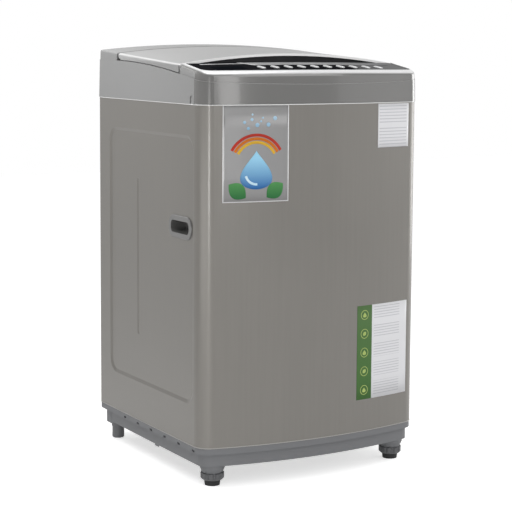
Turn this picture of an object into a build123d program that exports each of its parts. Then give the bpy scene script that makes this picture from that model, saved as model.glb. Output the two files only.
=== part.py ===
from build123d import *
from functools import cache
from math import atan, copysign, cos, degrees, radians, sin, sqrt
import os

# Top load washing machine, in millimetres. +Z is up, the front faces -Y, and the origin is on the floor
# under the middle of the machine's bounding box.

# Cabinet: one sheet of steel wrapped round a bowed front, both sides and the rear corners
CABINET_WIDTH = 540.0
CABINET_DEPTH = 543.0
CABINET_BOTTOM = 85.0
CABINET_TOP = 799.0
FRONT_BOW = 36.0
FRONT_CORNER_RADIUS = 35.0
REAR_CORNER_RADIUS = 12.0
SMALLEST_RADIUS = 1.5
SHEET = 1.0
TOP_FLANGE = 14.0
REAR_RETURN = 30.0
REAR_REACH = 16.0
FIT_GAP = 0.3

# Pressings in the cabinet's sides
EMBOSS_LENGTH = 412.0
EMBOSS_HEIGHT = 562.0
EMBOSS_CENTRE_Y = -5.0
EMBOSS_CENTRE_Z = 453.0
EMBOSS_RADIUS = 32.0
EMBOSS_DEPTH = 3.0
EMBOSS_SLOPE = 66.0
BEAD_LENGTH = 350.0
BEAD_WIDTH = 14.0
BEAD_FROM_REAR = 145.0
BEAD_DEPTH = 1.5

# Hand grips, one moulded cup in each side
GRIP_LENGTH = 104.0
GRIP_HEIGHT = 48.0
GRIP_RADIUS = 21.0
GRIP_CENTRE_Y = -149.0
GRIP_CENTRE_Z = 540.0
GRIP_FLANGE = 3.0
GRIP_BORDER = 9.0
GRIP_DEPTH = 34.0
GRIP_WALL = 2.0
GRIP_DRAFT = 5.0

# Rear panel and its service cover
PANEL_EDGE_GAP = 1.0
PANEL_RIB_WIDTH = 26.0
PANEL_RIB_LENGTH = 250.0
PANEL_RIB_DEPTH = 4.0
PANEL_RIB_SPACING = 150.0
PANEL_SLOPE = 40.0
SERVICE_WIDTH = 330.0
SERVICE_BOTTOM = 140.0
SERVICE_TOP = 420.0
SERVICE_OVERLAP = 15.0
SERVICE_BULGE = 7.0
LOUVRE_COUNT = 4
LOUVRE_WIDTH = 120.0
LOUVRE_HEIGHT = 8.0
LOUVRE_PITCH = 22.0

# Base moulding
BASE_LIP_INSET = 0.8
BASE_LIP_HEIGHT = 13.0
BASE_LIP_WIDTH = 18.0
BASE_INSET = 9.0
BASE_WALL = 3.0
BASE_BOTTOM = 45.0
BASE_UPSTAND = 16.0
BASE_SLOT_COUNT = 6
BASE_SLOT_PITCH = 67.0
BASE_SLOT_CENTRE_Y = -43.0
BASE_SLOT_LENGTH = 12.0
BASE_SLOT_HEIGHT = 4.5
BASE_SLOT_DEPTH = 4.0
BASE_SLOT_DROP = 9.0
BASE_REAR_RADIUS = 27.0
BASE_TAB_Y = -20.0
BASE_TAB_LENGTH = 16.0
BASE_TAB_DROP = 4.0
BASE_TAB_THICKNESS = 2.0
COLUMN_RADIUS = 27.0
COLUMN_TOE_RADIUS = 21.5
COLUMN_TOE_TOP = 39.0
COLUMN_BOTTOM = 27.0
REAR_BLOCK_LENGTH = 57.0
REAR_BLOCK_WIDTH = 56.0
REAR_BLOCK_RADIUS = 22.0
REAR_BLOCK_PROUD = 1.5
REAR_FOOT_HEIGHT = 41.0
REAR_FOOT_RADIUS = 14.0
REAR_FOOT_COLLAR = 15.5
REAR_FOOT_COLLAR_HEIGHT = 13.0
REAR_FOOT_EDGE = 2.0

# Screw-adjusted front feet
FRONT_FOOT_X = 226.0
FRONT_FOOT_BACK = 64.0
REAR_FOOT_X = 233.0
REAR_FOOT_BACK = 519.0
STUD_RADIUS = 5.0
STUD_TOP = 62.0
STUD_CLEARANCE = 0.06
FOOT_FLANGE_RADIUS = 25.0
FOOT_FLANGE_BOTTOM = 12.0
FOOT_FLANGE_EDGE = 4.0
FOOT_FLUTES = 10
FOOT_FLUTE_RADIUS = 4.0
FOOT_PAD_RADIUS = 16.0
FOOT_PAD_TAPER = 1.5

# Top frame: outer walls with a shoulder line that climbs from the front to the rear
TOP_LIP = 1.5
WALL_LEAN = 2.3
WALL_LEAN_HEIGHT = 101.0
SHOULDER_STEP = 1.2
SHOULDER_FRONT = 839.5
SHOULDER_MIDDLE = 876.5
SHOULDER_REAR = 884.0
FRAME_WALL = 3.0
SEAM_BACK = 64.0
SIDE_NOTCH_LENGTH = 14.0
SIDE_NOTCH_HEIGHT = 18.0
SIDE_NOTCH_BACK = 74.5
SIDE_NOTCH_DEPTH = 2.0

# Lid: arched across, sloping down to the front, rolled round its hinge axis at the rear
CONSOLE_DEPTH = 134.0
LID_LENGTH = 305.0
LID_CREST_FRONT = 902.0
LID_CREST_REAR = 920.0
LID_SAG_FRONT = 23.0
LID_SAG_REAR = 14.0
LID_WALL = 2.5
LID_EDGE_RADIUS = 5.0
LID_GAP = 4.0
LID_FRONT_GAP = 4.0
LID_LIFT = 1.5
BARREL_RADIUS = 15.0
HINGE_Z = 902.0
HINGE_X = 80.0
HINGE_EAR_WIDTH = 14.0
HINGE_EAR_RADIUS = 5.5
KNUCKLE_WIDTH = 8.0
KNUCKLE_GAP = 1.0
PIN_RADIUS = 2.5
PIN_CLEARANCE = 0.06
LID_LIP = 5.0
GRIP_STRIP_THICKNESS = 3.0
LINER_DROP = 9.5
LINER_THICKNESS = 2.0
LINER_POST_RADIUS = 5.0
LINER_POST_X = 170.0
LINER_POST_INSET = 40.0

# Console: rim, control panel, display and buttons
CONSOLE_CREST_REAR = 885.5
CONSOLE_CREST_FRONT = 868.0
CONSOLE_SAG_REAR = 3.0
CONSOLE_SAG_FRONT = 8.0
RIM_DEPTH = 8.0
RIM_WIDTH = 10.0
RIM_EDGE_RADIUS = 14.0
PANEL_DROP = 1.5
APRON_LIFT = 0.8
BUTTON_COUNT = 10
BUTTON_FIRST_X = -116.0
BUTTON_PITCH = 32.5
BUTTON_BACK = 58.0
BUTTON_LENGTH = 28.0
BUTTON_WIDTH = 10.0
BUTTON_PROUD = 2.6
BUTTON_TRAVEL = 1.5
BUTTON_GAP = 0.4
BUTTON_SKIRT = 3.4
BUTTON_STEM_RADIUS = 2.5
BUTTON_STEM_LENGTH = 12.0
BUTTON_EDGE = 1.2
DISPLAY_LENGTH = 74.0
DISPLAY_WIDTH = 34.0
DISPLAY_THICKNESS = 2.0
DISPLAY_CORNER = 4.5
DISPLAY_X = -188.0
BOARD_LENGTH = 340.0
BOARD_WIDTH = 36.0
BOARD_THICKNESS = 1.6
SWITCH_HEIGHT = 3.5
SWITCH_SIDE = 6.0
BOARD_POST_RADIUS = 4.0

# Loading mouth and detergent drawer
TUB_Y = 0.0
MOUTH_RADIUS = 188.0
MOUTH_FRONT_MARGIN = 13.0
MOUTH_REAR_MARGIN = 27.0
MOUTH_CORNER = 25.0
NECK_WALL = 2.5
NECK_BOTTOM = 752.0
DRAWER_X = 50.0
DRAWER_WIDTH = 110.0
DRAWER_HEIGHT = 42.0
DRAWER_DEPTH = 92.0
DRAWER_BOTTOM = 800.0
DRAWER_WALL = 2.0
DRAWER_GAP = 0.8
DRAWER_FRONT = 3.0
HOUSING_WALL = 2.5
HOUSING_POST_RADIUS = 5.0

# Water inlet: 3/4 inch threaded nozzle at the back
INLET_X = -150.0
INLET_Z = 842.0
INLET_RADIUS = 13.22
INLET_BORE = 8.0
INLET_NECK_RADIUS = 12.0
INLET_NECK_REACH = 2.0
INLET_WALL_GAP = 1.8
INLET_FLANGE_RADIUS = 21.0
INLET_FLANGE = 5.0
VALVE_WIDTH = 44.0
VALVE_LENGTH = 40.0
COIL_RADIUS = 13.0
COIL_HEIGHT = 26.0

# Rear grommets for the drain hose and the mains lead
DRAIN_X = -210.0
DRAIN_Z = 205.0
DRAIN_PORT_RADIUS = 21.0
LEAD_X = 190.0
LEAD_Z = 700.0
LEAD_PORT_RADIUS = 7.0
GROMMET_WALL = 3.0
GROMMET_FLANGE = 3.0
GROMMET_LENGTH = 9.0

# Suspended tub, hung on four rods and springs
TUB_RADIUS = 238.0
TUB_WALL = 3.5
TUB_BOTTOM = 230.0
TUB_TOP = 700.0
TUB_FLOOR = 5.0
TUB_RIB_COUNT = 8
TUB_RIB_DEPTH = 16.0
TUB_RIB_THICKNESS = 3.0
TUB_RIB_START = 70.0
TUB_RIM = 4.0
TUB_RIM_HEIGHT = 8.0
COVER_HEIGHT = 26.0
COVER_THICKNESS = 3.0
COVER_MOUTH = 196.0
ROD_X = 205.0
ROD_Y = 190.0
ROD_RADIUS = 3.5
ROD_HEAD_RADIUS = 9.0
ROD_CAP_RADIUS = 14.0
ROD_CAP_HEIGHT = 5.0
ROD_BOTTOM = 285.0
BRACKET_Z = 762.0
BRACKET_SHEET = 3.0
BRACKET_REACH = 60.0
LUG_BOTTOM = 392.0
LUG_HEIGHT = 22.0
LUG_WIDTH = 32.0
LUG_BORE_GAP = 2.5
LUG_END = 16.0
SPRING_RADIUS = 11.0
SPRING_WIRE = 2.5

# Basket, pulsator and their shafts
BASKET_RADIUS = 215.0
BASKET_SHEET = 1.0
BASKET_BOTTOM = 262.0
BASKET_TOP = 642.0
BASKET_HOLE_ROWS = 4
BASKET_HOLES_PER_ROW = 16
BASKET_HOLE = 7.0
BASE_PLATE_HEIGHT = 12.0
RING_HEIGHT = 48.0
RING_INNER = 186.0
RING_EDGE = 8.0
PULSATOR_RADIUS = 162.0
PULSATOR_RIM_Z = 268.0
PULSATOR_DOME = 16.0
PULSATOR_THICKNESS = 4.0
VANE_COUNT = 6
VANE_HEIGHT = 17.0
VANE_WIDTH = 15.0
VANE_SWEEP = 120.0
VANE_INNER = 34.0
CAP_RADIUS = 22.0
CAP_HEIGHT = 11.0
SHAFT_RADIUS = 8.0
SHAFT_BOTTOM = 176.0
SPIN_TUBE_RADIUS = 14.0
SPIN_TUBE_BOTTOM = 180.0
RUNNING_GAP = 0.06
BEARING_RADIUS = 26.0
BEARING_WIDTH = 12.0
LOWER_BEARING_Z = 184.0
UPPER_BEARING_Z = 208.0
SEAL_HEIGHT = 8.0
HUB_BORE = 30.0

# Belt drive under the tub
PLATE_Z = 140.0
PLATE_SHEET = 3.0
PLATE_LENGTH = 330.0
PLATE_WIDTH = 150.0
PLATE_CENTRE_X = 62.0
PLATE_CORNER = 20.0
SPACER_RADIUS = 9.0
SPACER_INSET = 16.0
GEAR_CASE_RADIUS = 58.0
GEAR_CASE_FLANGE_RADIUS = 70.0
GEAR_CASE_FLANGE = 6.0
GEAR_CASE_EDGE = 8.0
INPUT_SHAFT_REACH = 18.0
MOTOR_X = 148.0
MOTOR_RADIUS = 60.0
MOTOR_HEIGHT = 64.0
MOTOR_EDGE = 10.0
MOTOR_SHAFT_RADIUS = 6.0
MOTOR_VENTS = 12
PULLEY_RADIUS = 74.0
MOTOR_PULLEY_RADIUS = 24.0
PULLEY_WIDTH = 16.0
PULLEY_BOTTOM = 112.0
PULLEY_SPOKES = 5
PULLEY_WEB = 5.0
PULLEY_HUB_RADIUS = 18.0
PULLEY_RIM = 12.0
GROOVE_DEPTH = 6.0
GROOVE_WIDTH = 9.0
BELT_GAP = 0.3
BELT_WIDTH = 7.0
BELT_THICKNESS = 5.0
VALVE_X = -150.0
VALVE_Y = 100.0
DRAIN_VALVE_RADIUS = 26.0
DRAIN_VALVE_HEIGHT = 48.0
DRAIN_SPIGOT_RADIUS = 15.0
DRAIN_SPIGOT_REACH = 78.0
DRAIN_SPIGOT_WALL = 2.0

# Places worked out from the sizes above
CABINET_FRONT_Y = TOP_LIP - (CABINET_DEPTH + TOP_LIP + REAR_REACH) / 2
CABINET_REAR_Y = CABINET_FRONT_Y + CABINET_DEPTH
MIDDLE_Y = (CABINET_FRONT_Y + CABINET_REAR_Y) / 2
HALF_WIDTH = CABINET_WIDTH / 2
FAR = CABINET_WIDTH
LID_FRONT_Y = CABINET_FRONT_Y + CONSOLE_DEPTH
LID_REAR_Y = LID_FRONT_Y + LID_LENGTH
HINGE_Y = LID_REAR_Y - BARREL_RADIUS
BULKHEAD_Y = LID_FRONT_Y - LID_FRONT_GAP
STRIP_FRONT_Y = LID_REAR_Y + LID_GAP
SEAM_Y = CABINET_FRONT_Y + SEAM_BACK
FRONT_FOOT_Y = CABINET_FRONT_Y + FRONT_FOOT_BACK
REAR_FOOT_Y = CABINET_FRONT_Y + REAR_FOOT_BACK
CONSOLE_SLOPE = atan((CONSOLE_CREST_REAR - CONSOLE_CREST_FRONT) / CONSOLE_DEPTH)
BUTTON_Y = CABINET_FRONT_Y + BUTTON_BACK
MOUTH_FRONT_Y = LID_FRONT_Y + MOUTH_FRONT_MARGIN
MOUTH_REAR_Y = HINGE_Y - MOUTH_REAR_MARGIN
BASE_PLATE_BOTTOM = BASKET_BOTTOM - BASE_PLATE_HEIGHT


def block(x0, x1, y0, y1, z0, z1):
    """Box between two corners."""
    return Pos((x0 + x1) / 2, (y0 + y1) / 2, (z0 + z1) / 2) * Box(x1 - x0, y1 - y0, z1 - z0)


def rod(radius, z0, z1, x=0.0, y=0.0):
    """Upright cylinder."""
    return Pos(x, y, (z0 + z1) / 2) * Cylinder(radius, z1 - z0)


def tube(outer, inner, z0, z1, x=0.0, y=0.0):
    """Upright tube."""
    return rod(outer, z0, z1, x, y) - rod(inner, z0 - 1, z1 + 1, x, y)


def turned(points, x=0.0, y=0.0):
    """Solid of revolution about an upright axis, from (radius, height) points."""
    corners = [(r, 0, z) for r, z in points]
    return Pos(x, y, 0) * revolve(make_face(Polyline(*corners, close=True)), Axis.Z)


def one_solid(shape):
    """The shape as a part, with what a cut may have split off dropped."""
    return Part() + max(shape.solids(), key=lambda solid: solid.volume)


# Outlines and top surfaces that several pieces share


@cache
def plan(inset, rear_radius=REAR_CORNER_RADIUS):
    """The machine's outline from above, drawn in by inset: flat sides and rear, bowed front."""
    half = HALF_WIDTH - inset
    bow_radius = (HALF_WIDTH ** 2 + FRONT_BOW ** 2) / (2 * FRONT_BOW)
    bow_centre = CABINET_FRONT_Y + bow_radius
    corner_y = bow_centre - sqrt((bow_radius - inset) ** 2 - half ** 2)
    rear_y = CABINET_REAR_Y - inset
    front = ThreePointArc((-half, corner_y), (0, CABINET_FRONT_Y + inset), (half, corner_y))
    sides = Polyline((half, corner_y), (half, rear_y), (-half, rear_y), (-half, corner_y))
    face = make_face([front, sides])
    face = fillet(face.vertices().group_by(Axis.Y)[0], max(FRONT_CORNER_RADIUS - inset, SMALLEST_RADIUS))
    return fillet(face.vertices().group_by(Axis.Y)[-1], max(rear_radius - inset, SMALLEST_RADIUS))


def prism(inset, z0, z1, rear_radius=REAR_CORNER_RADIUS):
    """Upright block on the machine's outline."""
    return extrude(Pos(0, 0, z0) * plan(inset, rear_radius), amount=z1 - z0)


def ring(inset, width, z0, z1, rear_radius=REAR_CORNER_RADIUS):
    """Upright wall that follows the machine's outline."""
    return prism(inset, z0, z1, rear_radius) - prism(inset + width, z0 - 1, z1 + 1, rear_radius)


@cache
def leaning(inset):
    """Block above the cabinet whose walls lean in a little as they rise."""
    height = LID_CREST_REAR + TOP_LIP - CABINET_TOP
    top_inset = inset - TOP_LIP + WALL_LEAN * height / WALL_LEAN_HEIGHT
    bottom = Pos(0, 0, CABINET_TOP) * plan(inset - TOP_LIP)
    top = Pos(0, 0, CABINET_TOP + height) * plan(top_inset)
    return loft([bottom, top], ruled=True)


@cache
def below_shoulder(drop):
    """Everything under the shoulder curve, which climbs from the front to the rear."""
    reach = CABINET_DEPTH / 2
    bend = (SHOULDER_FRONT + SHOULDER_REAR - 2 * SHOULDER_MIDDLE) / (2 * reach ** 2)
    climb = (SHOULDER_REAR - SHOULDER_FRONT) / (2 * reach)

    def point(y):
        along = y - MIDDLE_Y
        return (-FAR, y, SHOULDER_MIDDLE + climb * along + bend * along ** 2 - drop)

    front_y = CABINET_FRONT_Y - REAR_REACH
    rear_y = CABINET_REAR_Y + REAR_REACH
    curve = ThreePointArc(point(front_y), point(MIDDLE_Y), point(rear_y))
    legs = Polyline(point(rear_y), (-FAR, rear_y, 0), (-FAR, front_y, 0), point(front_y))
    return extrude(make_face([curve, legs]), amount=2 * FAR, dir=(1, 0, 0))


def ruled_top(y_front, crest_front, sag_front, y_rear, crest_rear, sag_rear, drop):
    """Everything under a top surface that is arched across and straight from front to rear."""
    span = y_rear - y_front
    reach = HALF_WIDTH + REAR_REACH

    def section(y):
        share = (y - y_front) / span
        crest = crest_front + share * (crest_rear - crest_front) - drop
        sag = sag_front + share * (sag_rear - sag_front)
        radius = (HALF_WIDTH ** 2 + sag ** 2) / (2 * sag)
        edge = crest - radius + sqrt(radius ** 2 - reach ** 2)
        arch = ThreePointArc((reach, y, edge), (0, y, crest), (-reach, y, edge))
        legs = Polyline((-reach, y, edge), (-reach, y, 0), (reach, y, 0), (reach, y, edge))
        return make_face([arch, legs])

    return loft([section(y_front - REAR_REACH / 4), section(y_rear + REAR_REACH / 4)], ruled=True)


@cache
def under_lid(drop):
    return ruled_top(LID_FRONT_Y, LID_CREST_FRONT, LID_SAG_FRONT,
                     CABINET_REAR_Y, LID_CREST_REAR, LID_SAG_REAR, drop)


@cache
def under_console(drop):
    return ruled_top(CABINET_FRONT_Y, CONSOLE_CREST_FRONT, CONSOLE_SAG_FRONT,
                     LID_FRONT_Y, CONSOLE_CREST_REAR, CONSOLE_SAG_REAR, drop)


def between_y(y0, y1):
    return block(-FAR, FAR, y0, y1, 0, 2 * FAR)


def frame_form(inset):
    """The top's outer form: walls up to the shoulder, then a slightly smaller upper part."""
    return (leaning(inset) & below_shoulder(0)) + leaning(inset + SHOULDER_STEP)


@cache
def rounded_top(wall):
    """The upper part under the lid's surface, its side and rear edges rounded over."""
    form = leaning(SHOULDER_STEP + wall) & under_lid(wall)
    long_edges = form.edges().filter_by(
        lambda edge: edge.length > LID_LENGTH and edge.center().Z > SHOULDER_MIDDLE
        and abs(edge.center().X) > HALF_WIDTH / 2)
    return fillet(long_edges, LID_EDGE_RADIUS - wall)


def console_point(x, y):
    """Point on the console's top surface."""
    share = (y - CABINET_FRONT_Y) / CONSOLE_DEPTH
    crest = CONSOLE_CREST_FRONT + share * (CONSOLE_CREST_REAR - CONSOLE_CREST_FRONT)
    sag = CONSOLE_SAG_FRONT + share * (CONSOLE_SAG_REAR - CONSOLE_SAG_FRONT)
    return (x, y, crest - sag * (x / HALF_WIDTH) ** 2)


def console_plane(x, y, drop=0.0):
    """Plane along the console's slope, facing up out of it, at a depth below its surface."""
    facing = (0, -sin(CONSOLE_SLOPE), cos(CONSOLE_SLOPE))
    return Plane(console_point(x, y), x_dir=(1, 0, 0), z_dir=facing).offset(-drop)


# Cabinet, grips, rear panel and service cover


def side_plane(side, y, z, depth=0.0):
    """Plane on a cabinet side, facing into the machine."""
    return Plane((side * (HALF_WIDTH - depth), y, z), x_dir=(0, 1, 0), z_dir=(-side, 0, 0))


def press(shell, plane, outline, depth, slope):
    """Push a tapered pocket into sheet metal, with the sheet's thickness kept behind it."""
    behind = extrude(plane * offset(outline, SHEET / cos(radians(slope))), amount=depth + SHEET, taper=slope)
    pocket = extrude(plane * outline, amount=depth, taper=slope)
    return shell + behind - pocket


def cabinet_shell():
    shell = prism(0, CABINET_BOTTOM, CABINET_TOP)
    shell -= prism(SHEET, CABINET_BOTTOM - 1, CABINET_TOP - SHEET)
    shell -= prism(TOP_FLANGE, CABINET_TOP - 2 * SHEET, CABINET_TOP + 1)
    opening = HALF_WIDTH - REAR_RETURN
    shell -= block(-opening, opening, CABINET_REAR_Y - 2 * SHEET, CABINET_REAR_Y + 1,
                   CABINET_BOTTOM - 1, CABINET_TOP - SHEET)
    bead_y = EMBOSS_CENTRE_Y + EMBOSS_LENGTH / 2 - BEAD_FROM_REAR
    for side in (-1, 1):
        panel = RectangleRounded(EMBOSS_LENGTH, EMBOSS_HEIGHT, EMBOSS_RADIUS)
        face = side_plane(side, EMBOSS_CENTRE_Y, EMBOSS_CENTRE_Z)
        shell = press(shell, face, panel, EMBOSS_DEPTH, EMBOSS_SLOPE)
        bead = Rot(0, 0, 90) * SlotOverall(BEAD_LENGTH, BEAD_WIDTH)
        floor = side_plane(side, bead_y, EMBOSS_CENTRE_Z, EMBOSS_DEPTH)
        shell = press(shell, floor, bead, BEAD_DEPTH, EMBOSS_SLOPE)
        window = RectangleRounded(GRIP_LENGTH - 2 * GRIP_BORDER + 2 * FIT_GAP,
                                  GRIP_HEIGHT - 2 * GRIP_BORDER + 2 * FIT_GAP,
                                  GRIP_RADIUS - GRIP_BORDER + FIT_GAP)
        shell -= extrude(side_plane(side, GRIP_CENTRE_Y, GRIP_CENTRE_Z) * window, amount=GRIP_DEPTH)
    return shell


def grip(side):
    """Moulded cup for lifting, with its flange on the floor of the side's pressing."""
    seat = side_plane(side, GRIP_CENTRE_Y, GRIP_CENTRE_Z, EMBOSS_DEPTH)
    face = side_plane(side, GRIP_CENTRE_Y, GRIP_CENTRE_Z, EMBOSS_DEPTH - GRIP_FLANGE)
    length = GRIP_LENGTH - 2 * GRIP_BORDER
    height = GRIP_HEIGHT - 2 * GRIP_BORDER
    radius = GRIP_RADIUS - GRIP_BORDER
    flange = extrude(face * RectangleRounded(GRIP_LENGTH, GRIP_HEIGHT, GRIP_RADIUS), amount=GRIP_FLANGE)
    rim = flange.faces().sort_by(Axis.X)[0 if side < 0 else -1].edges()
    flange = chamfer(rim, GRIP_FLANGE / 2)
    cup = extrude(seat * RectangleRounded(length, height, radius), amount=GRIP_DEPTH, taper=GRIP_DRAFT)
    hollow = RectangleRounded(length - 2 * GRIP_WALL, height - 2 * GRIP_WALL, radius - GRIP_WALL)
    pocket = extrude(face * hollow, amount=GRIP_DEPTH + GRIP_FLANGE - GRIP_WALL, taper=GRIP_DRAFT)
    return flange + cup - pocket


def rear_panel():
    outer_y = CABINET_REAR_Y - SHEET
    half = HALF_WIDTH - REAR_CORNER_RADIUS - PANEL_EDGE_GAP
    top = CABINET_TOP - SHEET - PANEL_EDGE_GAP
    panel = block(-half, half, outer_y - SHEET, outer_y, CABINET_BOTTOM, top)
    rib_z = (SERVICE_TOP + top) / 2
    for column in (-1, 0, 1):
        plane = Plane((column * PANEL_RIB_SPACING, outer_y, rib_z), x_dir=(1, 0, 0), z_dir=(0, -1, 0))
        rib = Rot(0, 0, 90) * SlotOverall(PANEL_RIB_LENGTH, PANEL_RIB_WIDTH)
        panel = press(panel, plane, rib, PANEL_RIB_DEPTH, PANEL_SLOPE)
    panel -= block(-SERVICE_WIDTH / 2, SERVICE_WIDTH / 2, outer_y - 2 * SHEET, outer_y + 1,
                   SERVICE_BOTTOM, SERVICE_TOP)
    for x, z, radius in ((DRAIN_X, DRAIN_Z, DRAIN_PORT_RADIUS), (LEAD_X, LEAD_Z, LEAD_PORT_RADIUS)):
        hole = Cylinder(radius + GROMMET_WALL, 4 * SHEET)
        panel -= Pos(x, outer_y - SHEET / 2, z) * Rot(90, 0, 0) * hole
    return panel


def service_cover():
    """Pressed cover over the service opening, bulged outwards, with louvres."""
    seat_y = CABINET_REAR_Y - SHEET
    middle_z = (SERVICE_BOTTOM + SERVICE_TOP) / 2
    height = SERVICE_TOP - SERVICE_BOTTOM
    border = 2 * SERVICE_OVERLAP
    plane = Plane((0, seat_y, middle_z), x_dir=(1, 0, 0), z_dir=(0, 1, 0))
    edge = RectangleRounded(SERVICE_WIDTH + border, height + border, SERVICE_OVERLAP)
    crown = RectangleRounded(SERVICE_WIDTH, height, SERVICE_OVERLAP)
    cover = extrude(plane * edge, amount=SHEET)
    cover += extrude(plane * crown, amount=SERVICE_BULGE + SHEET, taper=PANEL_SLOPE)
    cover -= extrude(plane * offset(crown, -1.5 * SHEET), amount=SERVICE_BULGE, taper=PANEL_SLOPE)
    louvres = []
    for row in range(LOUVRE_COUNT):
        z = (row - (LOUVRE_COUNT - 1) / 2) * LOUVRE_PITCH
        for column in (-1, 1):
            x = column * (LOUVRE_WIDTH / 2 + LOUVRE_HEIGHT)
            slot = Pos(x, z, 0) * Rectangle(LOUVRE_WIDTH, LOUVRE_HEIGHT)
            louvres.append(extrude(plane * slot, amount=2 * SERVICE_BULGE))
    return cover - louvres


def rear_grommets():
    """Plastic rings that line the holes for the drain hose and the mains lead."""
    rings = []
    seat_y = CABINET_REAR_Y - SHEET
    for x, z, radius in ((DRAIN_X, DRAIN_Z, DRAIN_PORT_RADIUS), (LEAD_X, LEAD_Z, LEAD_PORT_RADIUS)):
        plane = Plane((x, seat_y, z), x_dir=(1, 0, 0), z_dir=(0, 1, 0))
        outer = radius + GROMMET_WALL
        sleeve = plane * Pos(0, 0, GROMMET_FLANGE - GROMMET_LENGTH / 2) * Cylinder(outer, GROMMET_LENGTH)
        flange = plane * Pos(0, 0, GROMMET_FLANGE / 2) * Cylinder(outer + GROMMET_WALL, GROMMET_FLANGE)
        rings.append(sleeve + flange - plane * Cylinder(radius, 4 * GROMMET_LENGTH))
    return Compound(children=rings)


# Base and feet


def foot_places():
    """Front and rear foot centres."""
    front = [(side * FRONT_FOOT_X, FRONT_FOOT_Y) for side in (-1, 1)]
    rear = [(side * REAR_FOOT_X, REAR_FOOT_Y) for side in (-1, 1)]
    return front, rear


def base_frame():
    """Moulded base: a slotted lip under the cabinet, a set-back skirt, and a block over each foot."""
    lip_bottom = CABINET_BOTTOM - BASE_LIP_HEIGHT
    base = ring(BASE_LIP_INSET, BASE_LIP_WIDTH, lip_bottom, CABINET_BOTTOM)
    base += ring(BASE_INSET, BASE_WALL, BASE_BOTTOM, CABINET_BOTTOM, BASE_REAR_RADIUS)
    base += ring(SHEET + FIT_GAP, BASE_WALL, CABINET_BOTTOM - SHEET, CABINET_BOTTOM + BASE_UPSTAND)
    inside = HALF_WIDTH - REAR_CORNER_RADIUS - PANEL_EDGE_GAP + FIT_GAP
    base -= block(-inside, inside, CABINET_REAR_Y - 2 * SHEET - FIT_GAP, CABINET_REAR_Y,
                  CABINET_BOTTOM, CABINET_BOTTOM + BASE_UPSTAND + 1)
    front = foot_places()[0]
    for x, y in front:
        base += turned([(0, COLUMN_BOTTOM), (COLUMN_TOE_RADIUS, COLUMN_BOTTOM), (COLUMN_RADIUS, COLUMN_TOE_TOP),
                        (COLUMN_RADIUS, CABINET_BOTTOM), (0, CABINET_BOTTOM)], x, y)
    block_inset = BASE_INSET - REAR_BLOCK_PROUD
    block_x = HALF_WIDTH - block_inset - REAR_BLOCK_WIDTH / 2
    block_y = CABINET_REAR_Y - block_inset - REAR_BLOCK_LENGTH / 2
    foot_block = RectangleRounded(REAR_BLOCK_WIDTH, REAR_BLOCK_LENGTH, REAR_BLOCK_RADIUS)
    tab = Box(BASE_TAB_THICKNESS, BASE_TAB_LENGTH, 2 * BASE_TAB_DROP)
    tab_x = HALF_WIDTH - BASE_INSET - BASE_WALL / 2
    holes = [rod(STUD_RADIUS + STUD_CLEARANCE, 0, STUD_TOP + FIT_GAP, x, y) for x, y in front]
    slot = Box(2 * BASE_SLOT_DEPTH, BASE_SLOT_LENGTH, BASE_SLOT_HEIGHT)
    slot_x = HALF_WIDTH - BASE_LIP_INSET
    for side in (-1, 1):
        place = Pos(side * block_x, block_y, REAR_FOOT_HEIGHT)
        base += extrude(place * foot_block, amount=CABINET_BOTTOM - REAR_FOOT_HEIGHT)
        base += Pos(side * tab_x, BASE_TAB_Y, BASE_BOTTOM) * tab
        for number in range(BASE_SLOT_COUNT):
            y = BASE_SLOT_CENTRE_Y + (number - (BASE_SLOT_COUNT - 1) / 2) * BASE_SLOT_PITCH
            holes.append(Pos(side * slot_x, y, CABINET_BOTTOM - BASE_SLOT_DROP) * slot)
    return base - holes


def levelling_foot(x, y):
    """Threaded stud with a fluted flange that is turned by hand."""
    top = COLUMN_BOTTOM - FIT_GAP
    edge = FOOT_FLANGE_EDGE
    foot = turned([(0, FOOT_FLANGE_BOTTOM), (FOOT_FLANGE_RADIUS - edge, FOOT_FLANGE_BOTTOM),
                   (FOOT_FLANGE_RADIUS, FOOT_FLANGE_BOTTOM + edge), (FOOT_FLANGE_RADIUS, top),
                   (STUD_RADIUS, top), (STUD_RADIUS, STUD_TOP), (0, STUD_TOP)])
    spots = PolarLocations(FOOT_FLANGE_RADIUS + FOOT_FLUTE_RADIUS / 3, FOOT_FLUTES)
    foot -= [spot * rod(FOOT_FLUTE_RADIUS, 0, top) for spot in spots]
    return Pos(x, y, 0) * foot


def foot_pad(x, y):
    return turned([(0, 0), (FOOT_PAD_RADIUS, 0), (FOOT_PAD_RADIUS + FOOT_PAD_TAPER, FOOT_FLANGE_BOTTOM),
                   (0, FOOT_FLANGE_BOTTOM)], x, y)


def rear_feet():
    collar_z = REAR_FOOT_HEIGHT - REAR_FOOT_COLLAR_HEIGHT
    profile = [(0, 0), (REAR_FOOT_RADIUS - REAR_FOOT_EDGE, 0), (REAR_FOOT_RADIUS, REAR_FOOT_EDGE),
               (REAR_FOOT_RADIUS, collar_z), (REAR_FOOT_COLLAR, collar_z),
               (REAR_FOOT_COLLAR, REAR_FOOT_HEIGHT), (0, REAR_FOOT_HEIGHT)]
    return Compound(children=[turned(profile, x, y) for x, y in foot_places()[1]])


# Top frame, apron, rim and control panel


def mouth_outline(grow):
    """Loading mouth from above: the tub's circle, cut straight at the front and the rear."""
    width = 2 * (MOUTH_RADIUS + grow)
    length = MOUTH_REAR_Y - MOUTH_FRONT_Y + 2 * grow
    centre_y = (MOUTH_REAR_Y + MOUTH_FRONT_Y) / 2
    face = Pos(0, TUB_Y) * Circle(MOUTH_RADIUS + grow) & Pos(0, centre_y) * Rectangle(width, length)
    return fillet(face.vertices(), MOUTH_CORNER + grow)


def mouth(grow, z0, z1):
    return extrude(Pos(0, 0, z0) * mouth_outline(grow), amount=z1 - z0)


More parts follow.
